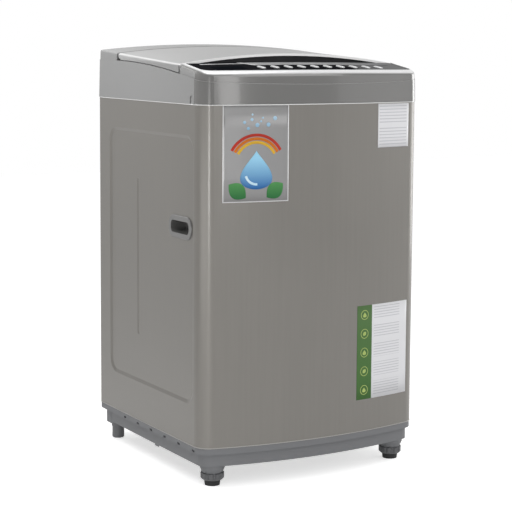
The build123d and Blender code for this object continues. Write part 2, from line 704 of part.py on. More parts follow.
@cache
def console_form():
    """The console's outer form, its top edge rounded over at both sides and across the front."""
    form = frame_form(0) & under_console(0) & between_y(-FAR, BULKHEAD_Y)
    top_edges = form.faces().sort_by(Axis.Z)[-1].edges().filter_by(
        lambda edge: edge.center().Y < BULKHEAD_Y - 1)
    return fillet(top_edges, RIM_EDGE_RADIUS)


def top_frame():
    """Moulded top: outer walls, the deck round the mouth, the mouth's neck and the console's shelf."""
    rear = between_y(BULKHEAD_Y, FAR)
    shelf_top = under_console(RIM_DEPTH)
    shelf_bottom = under_console(RIM_DEPTH + FRAME_WALL)
    inner = frame_form(FRAME_WALL)
    solid = (console_form() & shelf_top) + (((leaning(0) & below_shoulder(0)) + rounded_top(0)) & rear)
    hollow = (leaning(FRAME_WALL) & below_shoulder(0)) + rounded_top(FRAME_WALL)
    hollow = (hollow & rear) + (inner & shelf_bottom & between_y(-FAR, BULKHEAD_Y - FRAME_WALL))
    walls = (solid - hollow) & between_y(SEAM_Y + FIT_GAP, FAR)
    walls -= between_y(BULKHEAD_Y, STRIP_FRONT_Y) - below_shoulder(LID_LIFT)
    shelf = frame_form(FRAME_WALL + FIT_GAP) & (shelf_top - shelf_bottom)
    shelf &= between_y(-FAR, SEAM_Y + FRAME_WALL)
    deck = inner & (below_shoulder(LID_LIFT) - below_shoulder(LID_LIFT + FRAME_WALL))
    deck &= between_y(BULKHEAD_Y - FRAME_WALL, STRIP_FRONT_Y + FRAME_WALL)
    strip_wall = rounded_top(0) & between_y(STRIP_FRONT_Y, STRIP_FRONT_Y + FRAME_WALL)
    strip_wall -= below_shoulder(LID_LIFT + FRAME_WALL)
    neck = mouth(NECK_WALL, NECK_BOTTOM, 2 * FAR) & below_shoulder(LID_LIFT)
    frame = walls + [shelf, deck, strip_wall, neck, board_posts()]
    cuts = [mouth(0, 0, 2 * FAR), drawer_opening()]
    cuts.append(inlet_axis() * Cylinder(INLET_RADIUS + INLET_WALL_GAP, 4 * INLET_FLANGE_RADIUS))
    for number in range(BUTTON_COUNT):
        hole = Cylinder(BUTTON_STEM_RADIUS + BUTTON_GAP, 4 * BUTTON_STEM_LENGTH)
        cuts.append(console_plane(button_x(number), BUTTON_Y) * hole)
    notch_y = CABINET_FRONT_Y + SIDE_NOTCH_BACK
    for side in (-1, 1):
        face = side_plane(side, notch_y, CABINET_TOP, -TOP_LIP)
        notch = Rot(0, 0, 90) * SlotOverall(2 * SIDE_NOTCH_HEIGHT, SIDE_NOTCH_LENGTH)
        cuts.append(extrude(face * notch, amount=SIDE_NOTCH_DEPTH))
    return frame - cuts


def front_apron():
    """Glossy facing that wraps the front corners below the rim."""
    shell = console_form() - frame_form(FRAME_WALL)
    shell &= under_console(RIM_DEPTH) & between_y(-FAR, SEAM_Y)
    return shell - block(-FAR, FAR, -FAR, FAR, 0, CABINET_TOP + APRON_LIFT)


def console_rim():
    """Bright trim round the control panel: along both sides and across the front."""
    return console_form() - under_console(RIM_DEPTH) - frame_form(RIM_WIDTH)


def button_x(number):
    return BUTTON_FIRST_X + number * BUTTON_PITCH


def button_outline(grow):
    """A button from above: a slot that runs from the front to the rear."""
    return Rot(0, 0, 90) * SlotOverall(BUTTON_LENGTH + 2 * grow, BUTTON_WIDTH + 2 * grow)


def control_panel():
    """Dark facing inside the rim, with a hole for each button and a pocket for the display."""
    panel = frame_form(RIM_WIDTH + FIT_GAP) & between_y(-FAR, BULKHEAD_Y)
    panel &= under_console(PANEL_DROP) - under_console(RIM_DEPTH)
    holes = [display_form(FIT_GAP, 2 * RIM_DEPTH)]
    for number in range(BUTTON_COUNT):
        plane = console_plane(button_x(number), BUTTON_Y, 2 * RIM_DEPTH)
        holes.append(extrude(plane * button_outline(BUTTON_GAP), amount=4 * RIM_DEPTH))
    return panel - holes


def display_form(grow, height):
    """Block on the console's slope, turned a little with the arch, at the display's place."""
    y = CABINET_FRONT_Y + CONSOLE_DEPTH / 2
    sag = (CONSOLE_SAG_FRONT + CONSOLE_SAG_REAR) / 2
    tilt = degrees(atan(2 * sag * DISPLAY_X / HALF_WIDTH ** 2))
    plate = RectangleRounded(DISPLAY_LENGTH + 2 * grow, DISPLAY_WIDTH + 2 * grow, DISPLAY_CORNER)
    plane = console_plane(DISPLAY_X, y, PANEL_DROP + DISPLAY_THICKNESS)
    return extrude(plane * Rot(0, tilt, 0) * plate, amount=height)


def display_window():
    return display_form(0, DISPLAY_THICKNESS)


def button(number):
    """Push button: rounded cap in the panel, with a stem through the shelf to its switch."""
    plane = console_plane(button_x(number), BUTTON_Y, PANEL_DROP + BUTTON_SKIRT)
    cap = extrude(plane * button_outline(0), amount=BUTTON_SKIRT + BUTTON_PROUD)
    cap = chamfer(cap.faces().sort_by(Axis.Z)[-1].edges(), BUTTON_EDGE)
    stem = Pos(0, 0, -BUTTON_STEM_LENGTH / 2) * Cylinder(BUTTON_STEM_RADIUS, BUTTON_STEM_LENGTH)
    return cap + plane * stem


def board_drop():
    """How far the control board's top lies under the console's surface."""
    return PANEL_DROP + BUTTON_SKIRT + BUTTON_STEM_LENGTH + BUTTON_TRAVEL + FIT_GAP + SWITCH_HEIGHT


def board_centre():
    return (button_x(0) + button_x(BUTTON_COUNT - 1)) / 2


def board_post_spots():
    """Corners of the control board, where it is screwed to posts under the shelf."""
    x = BOARD_LENGTH / 2 - 2 * BOARD_POST_RADIUS
    y = BOARD_WIDTH / 2 - 2 * BOARD_POST_RADIUS
    return [Pos(side * x, end * y) for side in (-1, 1) for end in (-1, 1)]


def board_posts():
    plane = console_plane(board_centre(), BUTTON_Y, board_drop())
    posts = Part()
    for spot in board_post_spots():
        posts += extrude(plane * spot * Circle(BOARD_POST_RADIUS), amount=board_drop())
    return posts & under_console(RIM_DEPTH + FRAME_WALL / 2)


def control_board():
    """Circuit board under the shelf, with a switch below each button's stem."""
    plane = console_plane(board_centre(), BUTTON_Y, board_drop())
    board = extrude(plane * Rectangle(BOARD_LENGTH, BOARD_WIDTH), amount=-BOARD_THICKNESS)
    switches = []
    for number in range(BUTTON_COUNT):
        low = console_plane(button_x(number), BUTTON_Y, board_drop() + BOARD_THICKNESS)
        square = Rectangle(SWITCH_SIDE, SWITCH_SIDE)
        switches.append(extrude(low * square, amount=BOARD_THICKNESS + SWITCH_HEIGHT))
    return board + switches


# Lid and its hinge


def hinge_line():
    """Plane whose Z runs along the hinge axis."""
    return Plane((0, HINGE_Y, HINGE_Z), x_dir=(0, 1, 0), z_dir=(1, 0, 0))


def on_hinge(radius, x0, x1):
    """Cylinder along the hinge axis."""
    return hinge_line() * Pos(0, 0, (x0 + x1) / 2) * Cylinder(radius, x1 - x0)


@cache
def lid_form(wall):
    """The lid's outer form, or the hollow inside it when wall is its thickness."""
    barrel = on_hinge(BARREL_RADIUS - wall, -FAR, FAR)
    return rounded_top(wall) & (between_y(LID_FRONT_Y + wall, HINGE_Y) + barrel)


def lid_panel():
    """Arched shell with a short front lip, a rolled rear edge and two pairs of hinge knuckles."""
    lid = lid_form(0) - below_shoulder(0) - lid_form(LID_WALL)
    opening = leaning(SHOULDER_STEP + LID_WALL) & under_lid(LID_LIP)
    lid -= opening & between_y(LID_FRONT_Y - 1, LID_FRONT_Y + LID_WALL)
    half_slot = HINGE_EAR_WIDTH / 2 + KNUCKLE_GAP
    reach = BARREL_RADIUS + HINGE_EAR_RADIUS
    clear = HINGE_EAR_RADIUS + 2 * KNUCKLE_GAP
    added = []
    cuts = []
    for side in (-1, 1):
        middle = side * HINGE_X
        left = middle - half_slot - KNUCKLE_WIDTH
        right = middle + half_slot + KNUCKLE_WIDTH
        added.append(on_hinge(BARREL_RADIUS - LID_WALL / 2, left, right) & under_lid(LID_WALL / 2))
        cuts.append(block(middle - half_slot, middle + half_slot, HINGE_Y - clear, HINGE_Y + reach,
                          HINGE_Z - reach, HINGE_Z + clear))
        cuts.append(on_hinge(PIN_RADIUS, left - 1, right + 1))
    for x, y in liner_post_places():
        post = rod(LINER_POST_RADIUS, HINGE_Z - FAR, HINGE_Z + FAR, x, y)
        added.append((post & under_lid(LID_WALL / 2)) - under_lid(LINER_DROP))
    return lid + added - cuts


def liner_post_places():
    front = LID_FRONT_Y + LINER_POST_INSET
    rear = HINGE_Y - LINER_POST_INSET
    return [(side * LINER_POST_X, y) for side in (-1, 1) for y in (front, rear)]


def lid_grip():
    """Dark strip that closes the lid's front under its rounded edge."""
    front = LID_FRONT_Y + LID_WALL
    return (lid_form(LID_WALL) & between_y(front, front + GRIP_STRIP_THICKNESS)) - below_shoulder(0)


def lid_liner():
    """Inner skin of the lid, screwed to its posts."""
    front = LID_FRONT_Y + LID_WALL + GRIP_STRIP_THICKNESS
    rear = HINGE_Y - BARREL_RADIUS - LID_GAP
    sheet = lid_form(LID_WALL) & between_y(front, rear) & under_lid(LINER_DROP)
    return sheet - under_lid(LINER_DROP + LINER_THICKNESS) - below_shoulder(0)


def lid_hinge_pins():
    half = HINGE_EAR_WIDTH / 2 + KNUCKLE_GAP + KNUCKLE_WIDTH
    places = (-HINGE_X, HINGE_X)
    return Compound(children=[on_hinge(PIN_RADIUS, x - half, x + half) for x in places])


def lid_hinge_brackets():
    """Two ears that stand on the deck and carry the hinge pins."""
    ears = []
    for side in (-1, 1):
        x0 = side * HINGE_X - HINGE_EAR_WIDTH / 2
        x1 = x0 + HINGE_EAR_WIDTH
        ear = block(x0, x1, HINGE_Y - HINGE_EAR_RADIUS, HINGE_Y + HINGE_EAR_RADIUS,
                    SHOULDER_MIDDLE - BARREL_RADIUS, HINGE_Z)
        ear += on_hinge(HINGE_EAR_RADIUS, x0, x1)
        ear -= on_hinge(PIN_RADIUS + PIN_CLEARANCE, x0 - 1, x1 + 1)
        ears.append(one_solid(ear - below_shoulder(LID_LIFT)))
    return Compound(children=ears)


# Detergent drawer and water inlet


def drawer_box(grow, front_y, rear_y):
    half = DRAWER_WIDTH / 2 + grow
    return block(DRAWER_X - half, DRAWER_X + half, front_y, rear_y,
                 DRAWER_BOTTOM - grow, DRAWER_BOTTOM + DRAWER_HEIGHT + grow)


def drawer_opening():
    return drawer_box(DRAWER_GAP, MOUTH_REAR_Y - 1, MOUTH_REAR_Y + NECK_WALL + 1)


def detergent_drawer():
    """Open-topped tray with a divider and a finger lip on its front."""
    front = MOUTH_REAR_Y
    rear = front + DRAWER_DEPTH
    left = DRAWER_X - DRAWER_WIDTH / 2
    right = DRAWER_X + DRAWER_WIDTH / 2
    top = DRAWER_BOTTOM + DRAWER_HEIGHT
    lip = DRAWER_WIDTH / 6
    tray = drawer_box(0, front, rear)
    tray -= block(left + DRAWER_WALL, right - DRAWER_WALL, front + DRAWER_FRONT, rear - DRAWER_WALL,
                  DRAWER_BOTTOM + DRAWER_WALL, top + 1)
    tray += block(DRAWER_X - DRAWER_WALL / 2, DRAWER_X + DRAWER_WALL / 2, front + DRAWER_FRONT / 2,
                  rear - DRAWER_WALL / 2, DRAWER_BOTTOM + DRAWER_WALL / 2, top - DRAWER_HEIGHT / 2)
    return tray + block(DRAWER_X - lip, DRAWER_X + lip, front - 2 * DRAWER_FRONT, front + 1,
                        top - DRAWER_FRONT, top)


def drawer_housing():
    """Box behind the mouth that the drawer runs in, hung from the deck on four posts."""
    front = MOUTH_REAR_Y + NECK_WALL
    rear = MOUTH_REAR_Y + DRAWER_DEPTH + HOUSING_WALL + DRAWER_GAP
    housing = drawer_box(DRAWER_GAP + HOUSING_WALL, front, rear)
    housing -= drawer_box(DRAWER_GAP, front - 1, rear - HOUSING_WALL)
    top = DRAWER_BOTTOM + DRAWER_HEIGHT + DRAWER_GAP
    reach = DRAWER_WIDTH / 2 - HOUSING_POST_RADIUS
    for x in (DRAWER_X - reach, DRAWER_X + reach):
        for y in (front + 2 * HOUSING_POST_RADIUS, front + DRAWER_DEPTH / 2 - 2 * HOUSING_POST_RADIUS):
            housing += rod(HOUSING_POST_RADIUS, top, 2 * FAR, x, y) & below_shoulder(LID_LIFT + FRAME_WALL)
    return housing


def inlet_axis():
    """Plane at the back of the machine, facing out along the water nozzle."""
    return Plane((INLET_X, CABINET_REAR_Y, INLET_Z), x_dir=(1, 0, 0), z_dir=(0, 1, 0))


def inlet_valve():
    """Solenoid valve with its threaded nozzle through the frame's rear wall."""
    axis = inlet_axis()
    inside = 2 * FRAME_WALL
    length = REAR_REACH - INLET_NECK_REACH
    nozzle = axis * Pos(0, 0, REAR_REACH - length / 2) * Cylinder(INLET_RADIUS, length)
    nozzle += axis * Pos(0, 0, -inside / 2) * Cylinder(INLET_NECK_RADIUS, inside + 2 * INLET_NECK_REACH)
    thick = INLET_FLANGE + inside
    flange = axis * Pos(0, 0, -thick / 2) * Cylinder(INLET_FLANGE_RADIUS, thick) & frame_form(FRAME_WALL)
    body = axis * Pos(0, 0, -thick - VALVE_LENGTH / 2) * Box(VALVE_WIDTH, 2 * INLET_RADIUS, VALVE_LENGTH)
    coil_y = CABINET_REAR_Y - thick - VALVE_LENGTH / 2
    coil = rod(COIL_RADIUS, INLET_Z - INLET_RADIUS - COIL_HEIGHT, INLET_Z, INLET_X, coil_y)
    bore = axis * Pos(0, 0, REAR_REACH) * Cylinder(INLET_BORE, 2 * REAR_REACH)
    return one_solid(nozzle + [flange, body, coil] - bore)


# Suspension


def rod_places():
    return [(side * ROD_X, TUB_Y + end * ROD_Y) for side in (-1, 1) for end in (-1, 1)]


def corner_brackets():
    """Steel plates across the cabinet's inner corners, with a seat for each rod's head."""
    level = prism(SHEET, BRACKET_Z, BRACKET_Z + BRACKET_SHEET)
    level &= between_y(-FAR, CABINET_REAR_Y - 2 * SHEET)
    diagonal = sqrt(2) * BRACKET_REACH
    plates = []
    for x, y in rod_places():
        back_x = -copysign(BRACKET_REACH, x)
        back_y = -copysign(BRACKET_REACH, y - TUB_Y)
        quarter = Pos(x + back_x + copysign(FAR / 2, x), y + back_y + copysign(FAR / 2, y - TUB_Y), BRACKET_Z)
        trim = Pos(x + back_x, y + back_y, BRACKET_Z) * Rot(0, 0, 45)
        plate = level & quarter * Box(FAR, FAR, FAR)
        plate -= [trim * Box(diagonal, diagonal, FAR), rod(ROD_RADIUS + FIT_GAP, 0, FAR + BRACKET_Z, x, y)]
        plates.append(one_solid(plate))
    return Compound(children=plates)


def suspension_rods():
    """Hanging rods: a tapered head on the corner bracket, a cap under the spring."""
    head_z = BRACKET_Z + BRACKET_SHEET
    cap_top = ROD_BOTTOM + ROD_CAP_HEIGHT
    head_top = head_z + ROD_HEAD_RADIUS
    profile = [(0, ROD_BOTTOM), (ROD_CAP_RADIUS, ROD_BOTTOM), (ROD_CAP_RADIUS, cap_top), (ROD_RADIUS, cap_top),
               (ROD_RADIUS, head_z), (ROD_HEAD_RADIUS, head_z), (ROD_HEAD_RADIUS / 2, head_top), (0, head_top)]
    return Compound(children=[turned(profile, x, y) for x, y in rod_places()])


def suspension_springs():
    """Springs between the rods' caps and the tub's lugs, drawn as sleeves of the coils' size."""
    bottom = ROD_BOTTOM + ROD_CAP_HEIGHT
    return Compound(children=[tube(SPRING_RADIUS, SPRING_RADIUS - SPRING_WIRE, bottom, LUG_BOTTOM, x, y)
                              for x, y in rod_places()])


# Tub, basket and pulsator


@cache
def outer_tub():
    inner = TUB_RADIUS - TUB_WALL
    floor = TUB_BOTTOM + TUB_FLOOR
    tub = turned([(HUB_BORE, TUB_BOTTOM), (TUB_RADIUS, TUB_BOTTOM), (TUB_RADIUS, TUB_TOP - TUB_RIM_HEIGHT),
                  (TUB_RADIUS + TUB_RIM, TUB_TOP - TUB_RIM_HEIGHT), (TUB_RADIUS + TUB_RIM, TUB_TOP),
                  (inner, TUB_TOP), (inner, floor), (HUB_BORE, floor)], 0, TUB_Y)
    for x, y in rod_places():
        distance = sqrt(x ** 2 + (y - TUB_Y) ** 2)
        length = distance + LUG_END - inner
        lug = Box(length, LUG_WIDTH, LUG_HEIGHT)
        angle = Vector(x, y - TUB_Y, 0).get_angle(Vector(1, 0, 0)) * (1 if y > TUB_Y else -1)
        place = Pos(0, TUB_Y, LUG_BOTTOM + LUG_HEIGHT / 2) * Rot(0, 0, angle)
        arm = place * Pos(inner + length / 2, 0, 0) * lug
        tub += arm - rod(ROD_RADIUS + LUG_BORE_GAP, 0, 2 * FAR, x, y)
    tub -= rod(inner, floor, TUB_TOP + 1, 0, TUB_Y)
    rib = Box(TUB_RADIUS - TUB_RIB_START, TUB_RIB_THICKNESS, TUB_RIB_DEPTH)
    spots = PolarLocations((TUB_RIB_START + TUB_RADIUS) / 2, TUB_RIB_COUNT, start_angle=180 / TUB_RIB_COUNT)
    tub += [Pos(0, TUB_Y, TUB_BOTTOM - TUB_RIB_DEPTH / 2) * spot * rib for spot in spots]
    drain = rod(DRAIN_SPIGOT_RADIUS, TUB_BOTTOM - 1, floor + 1, VALVE_X, TUB_Y + VALVE_Y)
    return tub - drain


def tub_cover():
    """Splash ring snapped on the tub's rim."""
    outer = TUB_RADIUS + TUB_RIM
    top = TUB_TOP + COVER_HEIGHT
    return turned([(outer, TUB_TOP), (outer, TUB_TOP + COVER_THICKNESS), (COVER_MOUTH, top),
                   (COVER_MOUTH, top - COVER_THICKNESS), (outer - TUB_WALL - TUB_RIM, TUB_TOP)], 0, TUB_Y)


def wash_basket():
    """Rolled steel drum with rows of drain holes."""
    drum = tube(BASKET_RADIUS, BASKET_RADIUS - BASKET_SHEET, BASKET_BOTTOM, BASKET_TOP, 0, TUB_Y)
    pitch = (BASKET_TOP - BASKET_BOTTOM) / (BASKET_HOLE_ROWS + 1)
    bars = []
    for row in range(BASKET_HOLE_ROWS):
        z = BASKET_BOTTOM + (row + 1) * pitch
        for number in range(BASKET_HOLES_PER_ROW // 2):
            angle = (number + row / 2) * 360 / BASKET_HOLES_PER_ROW
            bar = Box(3 * BASKET_RADIUS, BASKET_HOLE, BASKET_HOLE)
            bars.append(Pos(0, TUB_Y, z) * Rot(0, 0, angle) * bar)
    return drum - bars


def basket_base():
    """Moulded floor of the basket, keyed to the spin tube."""
    return tube(BASKET_RADIUS, SPIN_TUBE_RADIUS, BASE_PLATE_BOTTOM, BASKET_BOTTOM, 0, TUB_Y)


def balance_ring():
    """Plastic ring filled with salt water on the basket's upper edge."""
    top = BASKET_TOP + RING_HEIGHT
    shoulder = top - RING_EDGE
    return turned([(RING_INNER, BASKET_TOP), (BASKET_RADIUS, BASKET_TOP), (BASKET_RADIUS, shoulder),
                   (BASKET_RADIUS - RING_EDGE, top), (RING_INNER + RING_EDGE, top),
                   (RING_INNER, shoulder)], 0, TUB_Y)


def pulsator_dome(lift, radius):
    """Domed body of revolution under the pulsator's upper surface."""
    rim_z = PULSATOR_RIM_Z + lift
    crown = ThreePointArc((0, 0, rim_z + PULSATOR_DOME), (radius * 0.5, 0, rim_z + PULSATOR_DOME * 0.75),
                          (radius, 0, rim_z))
    legs = Polyline((radius, 0, rim_z), (radius, 0, PULSATOR_RIM_Z - PULSATOR_THICKNESS),
                    (0, 0, PULSATOR_RIM_Z - PULSATOR_THICKNESS), (0, 0, rim_z + PULSATOR_DOME))
    return Pos(0, TUB_Y, 0) * revolve(make_face([crown, legs]), Axis.Z)


def pulsator():
    """Domed disc with swept vanes that stirs the water."""
    body = pulsator_dome(0, PULSATOR_RADIUS)
    reach = PULSATOR_RADIUS - VANE_WIDTH
    envelope = pulsator_dome(VANE_HEIGHT, reach)
    end = Vector(reach, 0).rotate(Axis.Z, VANE_SWEEP / VANE_COUNT)
    spine = TangentArc((VANE_INNER, 0), (end.X, end.Y), tangent=(1, -0.15))
    outline = make_face(offset(spine, VANE_WIDTH / 2).edges())
    vanes = []
    for number in range(VANE_COUNT):
        turn = Pos(0, TUB_Y, PULSATOR_RIM_Z) * Rot(0, 0, number * 360 / VANE_COUNT)
        vanes.append(extrude(turn * outline, amount=2 * VANE_HEIGHT) & envelope)
    return body + vanes - rod(SHAFT_RADIUS, 0, FAR, 0, TUB_Y)


def pulsator_cap():
    """Cap over the bolt that holds the pulsator on its shaft."""
    bottom = PULSATOR_RIM_Z + PULSATOR_DOME
    form = Pos(0, TUB_Y, bottom) * Cone(CAP_RADIUS, CAP_RADIUS - CAP_HEIGHT / 2, CAP_HEIGHT,
                                       align=(Align.CENTER, Align.CENTER, Align.MIN))
    return fillet(form.edges().group_by(Axis.Z)[-1], CAP_HEIGHT / 3) - pulsator_dome(0, PULSATOR_RADIUS)


def pulsator_shaft():
    return rod(SHAFT_RADIUS, SHAFT_BOTTOM, PULSATOR_RIM_Z + PULSATOR_DOME - 2, 0, TUB_Y)


def spin_tube():
    """Hollow shaft that carries the basket."""
    return tube(SPIN_TUBE_RADIUS, SHAFT_RADIUS + RUNNING_GAP, SPIN_TUBE_BOTTOM, BASKET_BOTTOM, 0, TUB_Y)


# Bearings, gear case and belt drive


def shaft_bearings():
    bore = SPIN_TUBE_RADIUS + RUNNING_GAP
    return Compound(children=[tube(BEARING_RADIUS, bore, z, z + BEARING_WIDTH, 0, TUB_Y)
                              for z in (LOWER_BEARING_Z, UPPER_BEARING_Z)])


def shaft_seal():
    return tube(HUB_BORE, SPIN_TUBE_RADIUS + RUNNING_GAP, TUB_BOTTOM, TUB_BOTTOM + SEAL_HEIGHT, 0, TUB_Y)


def gear_case():
    """Cast housing under the tub: planetary gears below, the spin tube's bearings above."""
    bottom = PLATE_Z + PLATE_SHEET
    flange_top = bottom + GEAR_CASE_FLANGE
    case = turned([(0, bottom), (GEAR_CASE_FLANGE_RADIUS, bottom), (GEAR_CASE_FLANGE_RADIUS, flange_top),
                   (GEAR_CASE_RADIUS, flange_top), (GEAR_CASE_RADIUS, TUB_BOTTOM - GEAR_CASE_EDGE),
                   (GEAR_CASE_RADIUS - GEAR_CASE_EDGE, TUB_BOTTOM), (0, TUB_BOTTOM)], 0, TUB_Y)
    seats = [rod(BEARING_RADIUS, z, z + BEARING_WIDTH, 0, TUB_Y) for z in (LOWER_BEARING_Z, UPPER_BEARING_Z)]
    seats.append(rod(SPIN_TUBE_RADIUS + 8 * RUNNING_GAP, SHAFT_BOTTOM - FIT_GAP, FAR, 0, TUB_Y))
    seats.append(rod(SHAFT_RADIUS + RUNNING_GAP, 0, PLATE_Z + INPUT_SHAFT_REACH, 0, TUB_Y))
    return case - seats


def spacer_places():
    x = PLATE_LENGTH / 2 - SPACER_INSET
    y = PLATE_WIDTH / 2 - SPACER_INSET
    return [(PLATE_CENTRE_X + side * x, TUB_Y + end * y) for side in (-1, 1) for end in (-1, 1)]


def drive_plate():
    top = PLATE_Z + PLATE_SHEET
    outline = Pos(PLATE_CENTRE_X, TUB_Y, PLATE_Z) * RectangleRounded(PLATE_LENGTH, PLATE_WIDTH, PLATE_CORNER)
    plate = extrude(outline, amount=PLATE_SHEET)
    plate -= rod(SHAFT_RADIUS + SPACER_RADIUS, 0, top + 1, 0, TUB_Y)
    return plate - rod(MOTOR_SHAFT_RADIUS + SPACER_RADIUS, 0, top + 1, MOTOR_X, TUB_Y)


def plate_spacers():
    """Four posts that hang the drive plate from the tub's floor."""
    posts = []
    ribs = outer_tub()
    for x, y in spacer_places():
        posts.append(one_solid(rod(SPACER_RADIUS, PLATE_Z + PLATE_SHEET, TUB_BOTTOM, x, y) - ribs))
    return Compound(children=posts)


def motor():
    """Induction motor standing on the drive plate, its shaft pointing down."""
    bottom = PLATE_Z + PLATE_SHEET
    top = bottom + MOTOR_HEIGHT
    body = turned([(0, bottom), (MOTOR_RADIUS, bottom), (MOTOR_RADIUS, top - MOTOR_EDGE),
                   (MOTOR_RADIUS - MOTOR_EDGE, top), (0, top)], MOTOR_X, TUB_Y)
    middle = Pos(MOTOR_X, TUB_Y, (bottom + top) / 2)
    vents = [middle * spot * Box(MOTOR_EDGE, MOTOR_EDGE, MOTOR_HEIGHT / 3)
             for spot in PolarLocations(MOTOR_RADIUS, MOTOR_VENTS)]
    return body - vents - rod(MOTOR_SHAFT_RADIUS + RUNNING_GAP, 0, bottom + MOTOR_HEIGHT / 2, MOTOR_X, TUB_Y)


def grooved_wheel(radius, bore, x):
    """Pulley rim with a groove for the belt."""
    bottom = PULLEY_BOTTOM
    top = bottom + PULLEY_WIDTH
    middle = (bottom + top) / 2
    floor = radius - GROOVE_DEPTH
    half = GROOVE_WIDTH / 2
    return turned([(bore, bottom), (radius, bottom), (radius, middle - half), (floor, middle - half / 2),
                   (floor, middle + half / 2), (radius, middle + half), (radius, top), (bore, top)], x, TUB_Y)


def drive_pulley():
    """Spoked pulley with the shaft that drives the gear case."""
    wheel = grooved_wheel(PULLEY_RADIUS, PULLEY_RADIUS - PULLEY_RIM, 0)
    middle = PULLEY_BOTTOM + PULLEY_WIDTH / 2
    wheel += rod(PULLEY_HUB_RADIUS, PULLEY_BOTTOM, PULLEY_BOTTOM + PULLEY_WIDTH, 0, TUB_Y)
    for number in range(PULLEY_SPOKES):
        spoke = Pos(PULLEY_RADIUS / 2, 0, 0) * Box(PULLEY_RADIUS - PULLEY_RIM / 2, 2 * PULLEY_WEB, PULLEY_WEB)
        wheel += Pos(0, TUB_Y, middle) * Rot(0, 0, number * 360 / PULLEY_SPOKES) * (
            spoke & Cylinder(PULLEY_RADIUS - PULLEY_RIM / 2, FAR))
    return wheel + rod(SHAFT_RADIUS, PULLEY_BOTTOM, PLATE_Z + INPUT_SHAFT_REACH - 1, 0, TUB_Y)


def motor_pulley():
    top = PLATE_Z + PLATE_SHEET + MOTOR_HEIGHT / 2 - 1
    return grooved_wheel(MOTOR_PULLEY_RADIUS, MOTOR_SHAFT_RADIUS, MOTOR_X) + rod(
        MOTOR_SHAFT_RADIUS, PULLEY_BOTTOM, top, MOTOR_X, TUB_Y)


def belt_outline(grow):
    """Outline of the belt's run round both pulleys."""
    drive = PULLEY_RADIUS - GROOVE_DEPTH + BELT_GAP + grow
    driven = MOTOR_PULLEY_RADIUS - GROOVE_DEPTH + BELT_GAP + grow
    circles = Circle(drive).edges() + (Pos(MOTOR_X, 0) * Circle(driven)).edges()
    return make_hull(circles)


def drive_belt():
    bottom = PULLEY_BOTTOM + (PULLEY_WIDTH - BELT_WIDTH) / 2 + BELT_WIDTH / 4
    band = belt_outline(BELT_THICKNESS) - belt_outline(0)
    return extrude(Pos(0, TUB_Y, bottom) * band, amount=BELT_WIDTH / 2)


def drain_valve():
    """Valve under the tub's floor, with the spigot that the drain hose goes on."""
    x = VALVE_X
    y = TUB_Y + VALVE_Y
    bottom = TUB_BOTTOM - DRAIN_VALVE_HEIGHT
    body = rod(DRAIN_VALVE_RADIUS, bottom, TUB_BOTTOM, x, y)
    plane = Plane((x, y, DRAIN_Z), x_dir=(1, 0, 0), z_dir=(0, 1, 0))
    body += extrude(plane * Circle(DRAIN_SPIGOT_RADIUS), amount=DRAIN_SPIGOT_REACH)
    body -= extrude(plane * Circle(DRAIN_SPIGOT_RADIUS - DRAIN_SPIGOT_WALL), amount=2 * DRAIN_SPIGOT_REACH)
    return body - outer_tub()


def save(name, shape):
    export_step(shape, os.path.join("parts", name + ".step"))


def main():
    os.makedirs("parts", exist_ok=True)
    pieces = {
        "cabinet_shell": cabinet_shell(),
        "grip_left": grip(-1),
        "grip_right": grip(1),
        "rear_panel": rear_panel(),
        "service_cover": service_cover(),
        "rear_grommets": rear_grommets(),
        "base_frame": base_frame(),
        "rear_feet": rear_feet(),
        "top_frame": top_frame(),
        "front_apron": front_apron(),
        "console_rim": console_rim(),
        "control_panel": control_panel(),
        "display_window": display_window(),
        "control_board": control_board(),
        "lid_panel": lid_panel(),
        "lid_grip": lid_grip(),
        "lid_liner": lid_liner(),
        "lid_hinge_pins": lid_hinge_pins(),
        "lid_hinge_brackets": lid_hinge_brackets(),
        "detergent_drawer": detergent_drawer(),
        "drawer_housing": drawer_housing(),
        "inlet_valve": inlet_valve(),
        "corner_brackets": corner_brackets(),
        "suspension_rods": suspension_rods(),
        "suspension_springs": suspension_springs(),
        "outer_tub": outer_tub(),
        "tub_cover": tub_cover(),
        "wash_basket": wash_basket(),
        "basket_base": basket_base(),
        "balance_ring": balance_ring(),
        "pulsator": pulsator(),
        "pulsator_cap": pulsator_cap(),
        "pulsator_shaft": pulsator_shaft(),
        "spin_tube": spin_tube(),
        "shaft_bearings": shaft_bearings(),
        "shaft_seal": shaft_seal(),
        "gear_case": gear_case(),
        "drive_plate": drive_plate(),
        "plate_spacers": plate_spacers(),
        "motor": motor(),
        "motor_pulley": motor_pulley(),
        "drive_pulley": drive_pulley(),
        "drive_belt": drive_belt(),
        "drain_valve": drain_valve(),
    }
    for name, (x, y) in zip(("left", "right"), foot_places()[0]):
        pieces["levelling_foot_" + name] = levelling_foot(x, y)
        pieces["foot_pad_" + name] = foot_pad(x, y)
    for number in range(BUTTON_COUNT):
        pieces["button_" + str(number + 1)] = button(number)
    for name, shape in pieces.items():
        save(name, shape)


main()
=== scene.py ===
import math

import bmesh
import bpy
from mathutils import Matrix, Vector


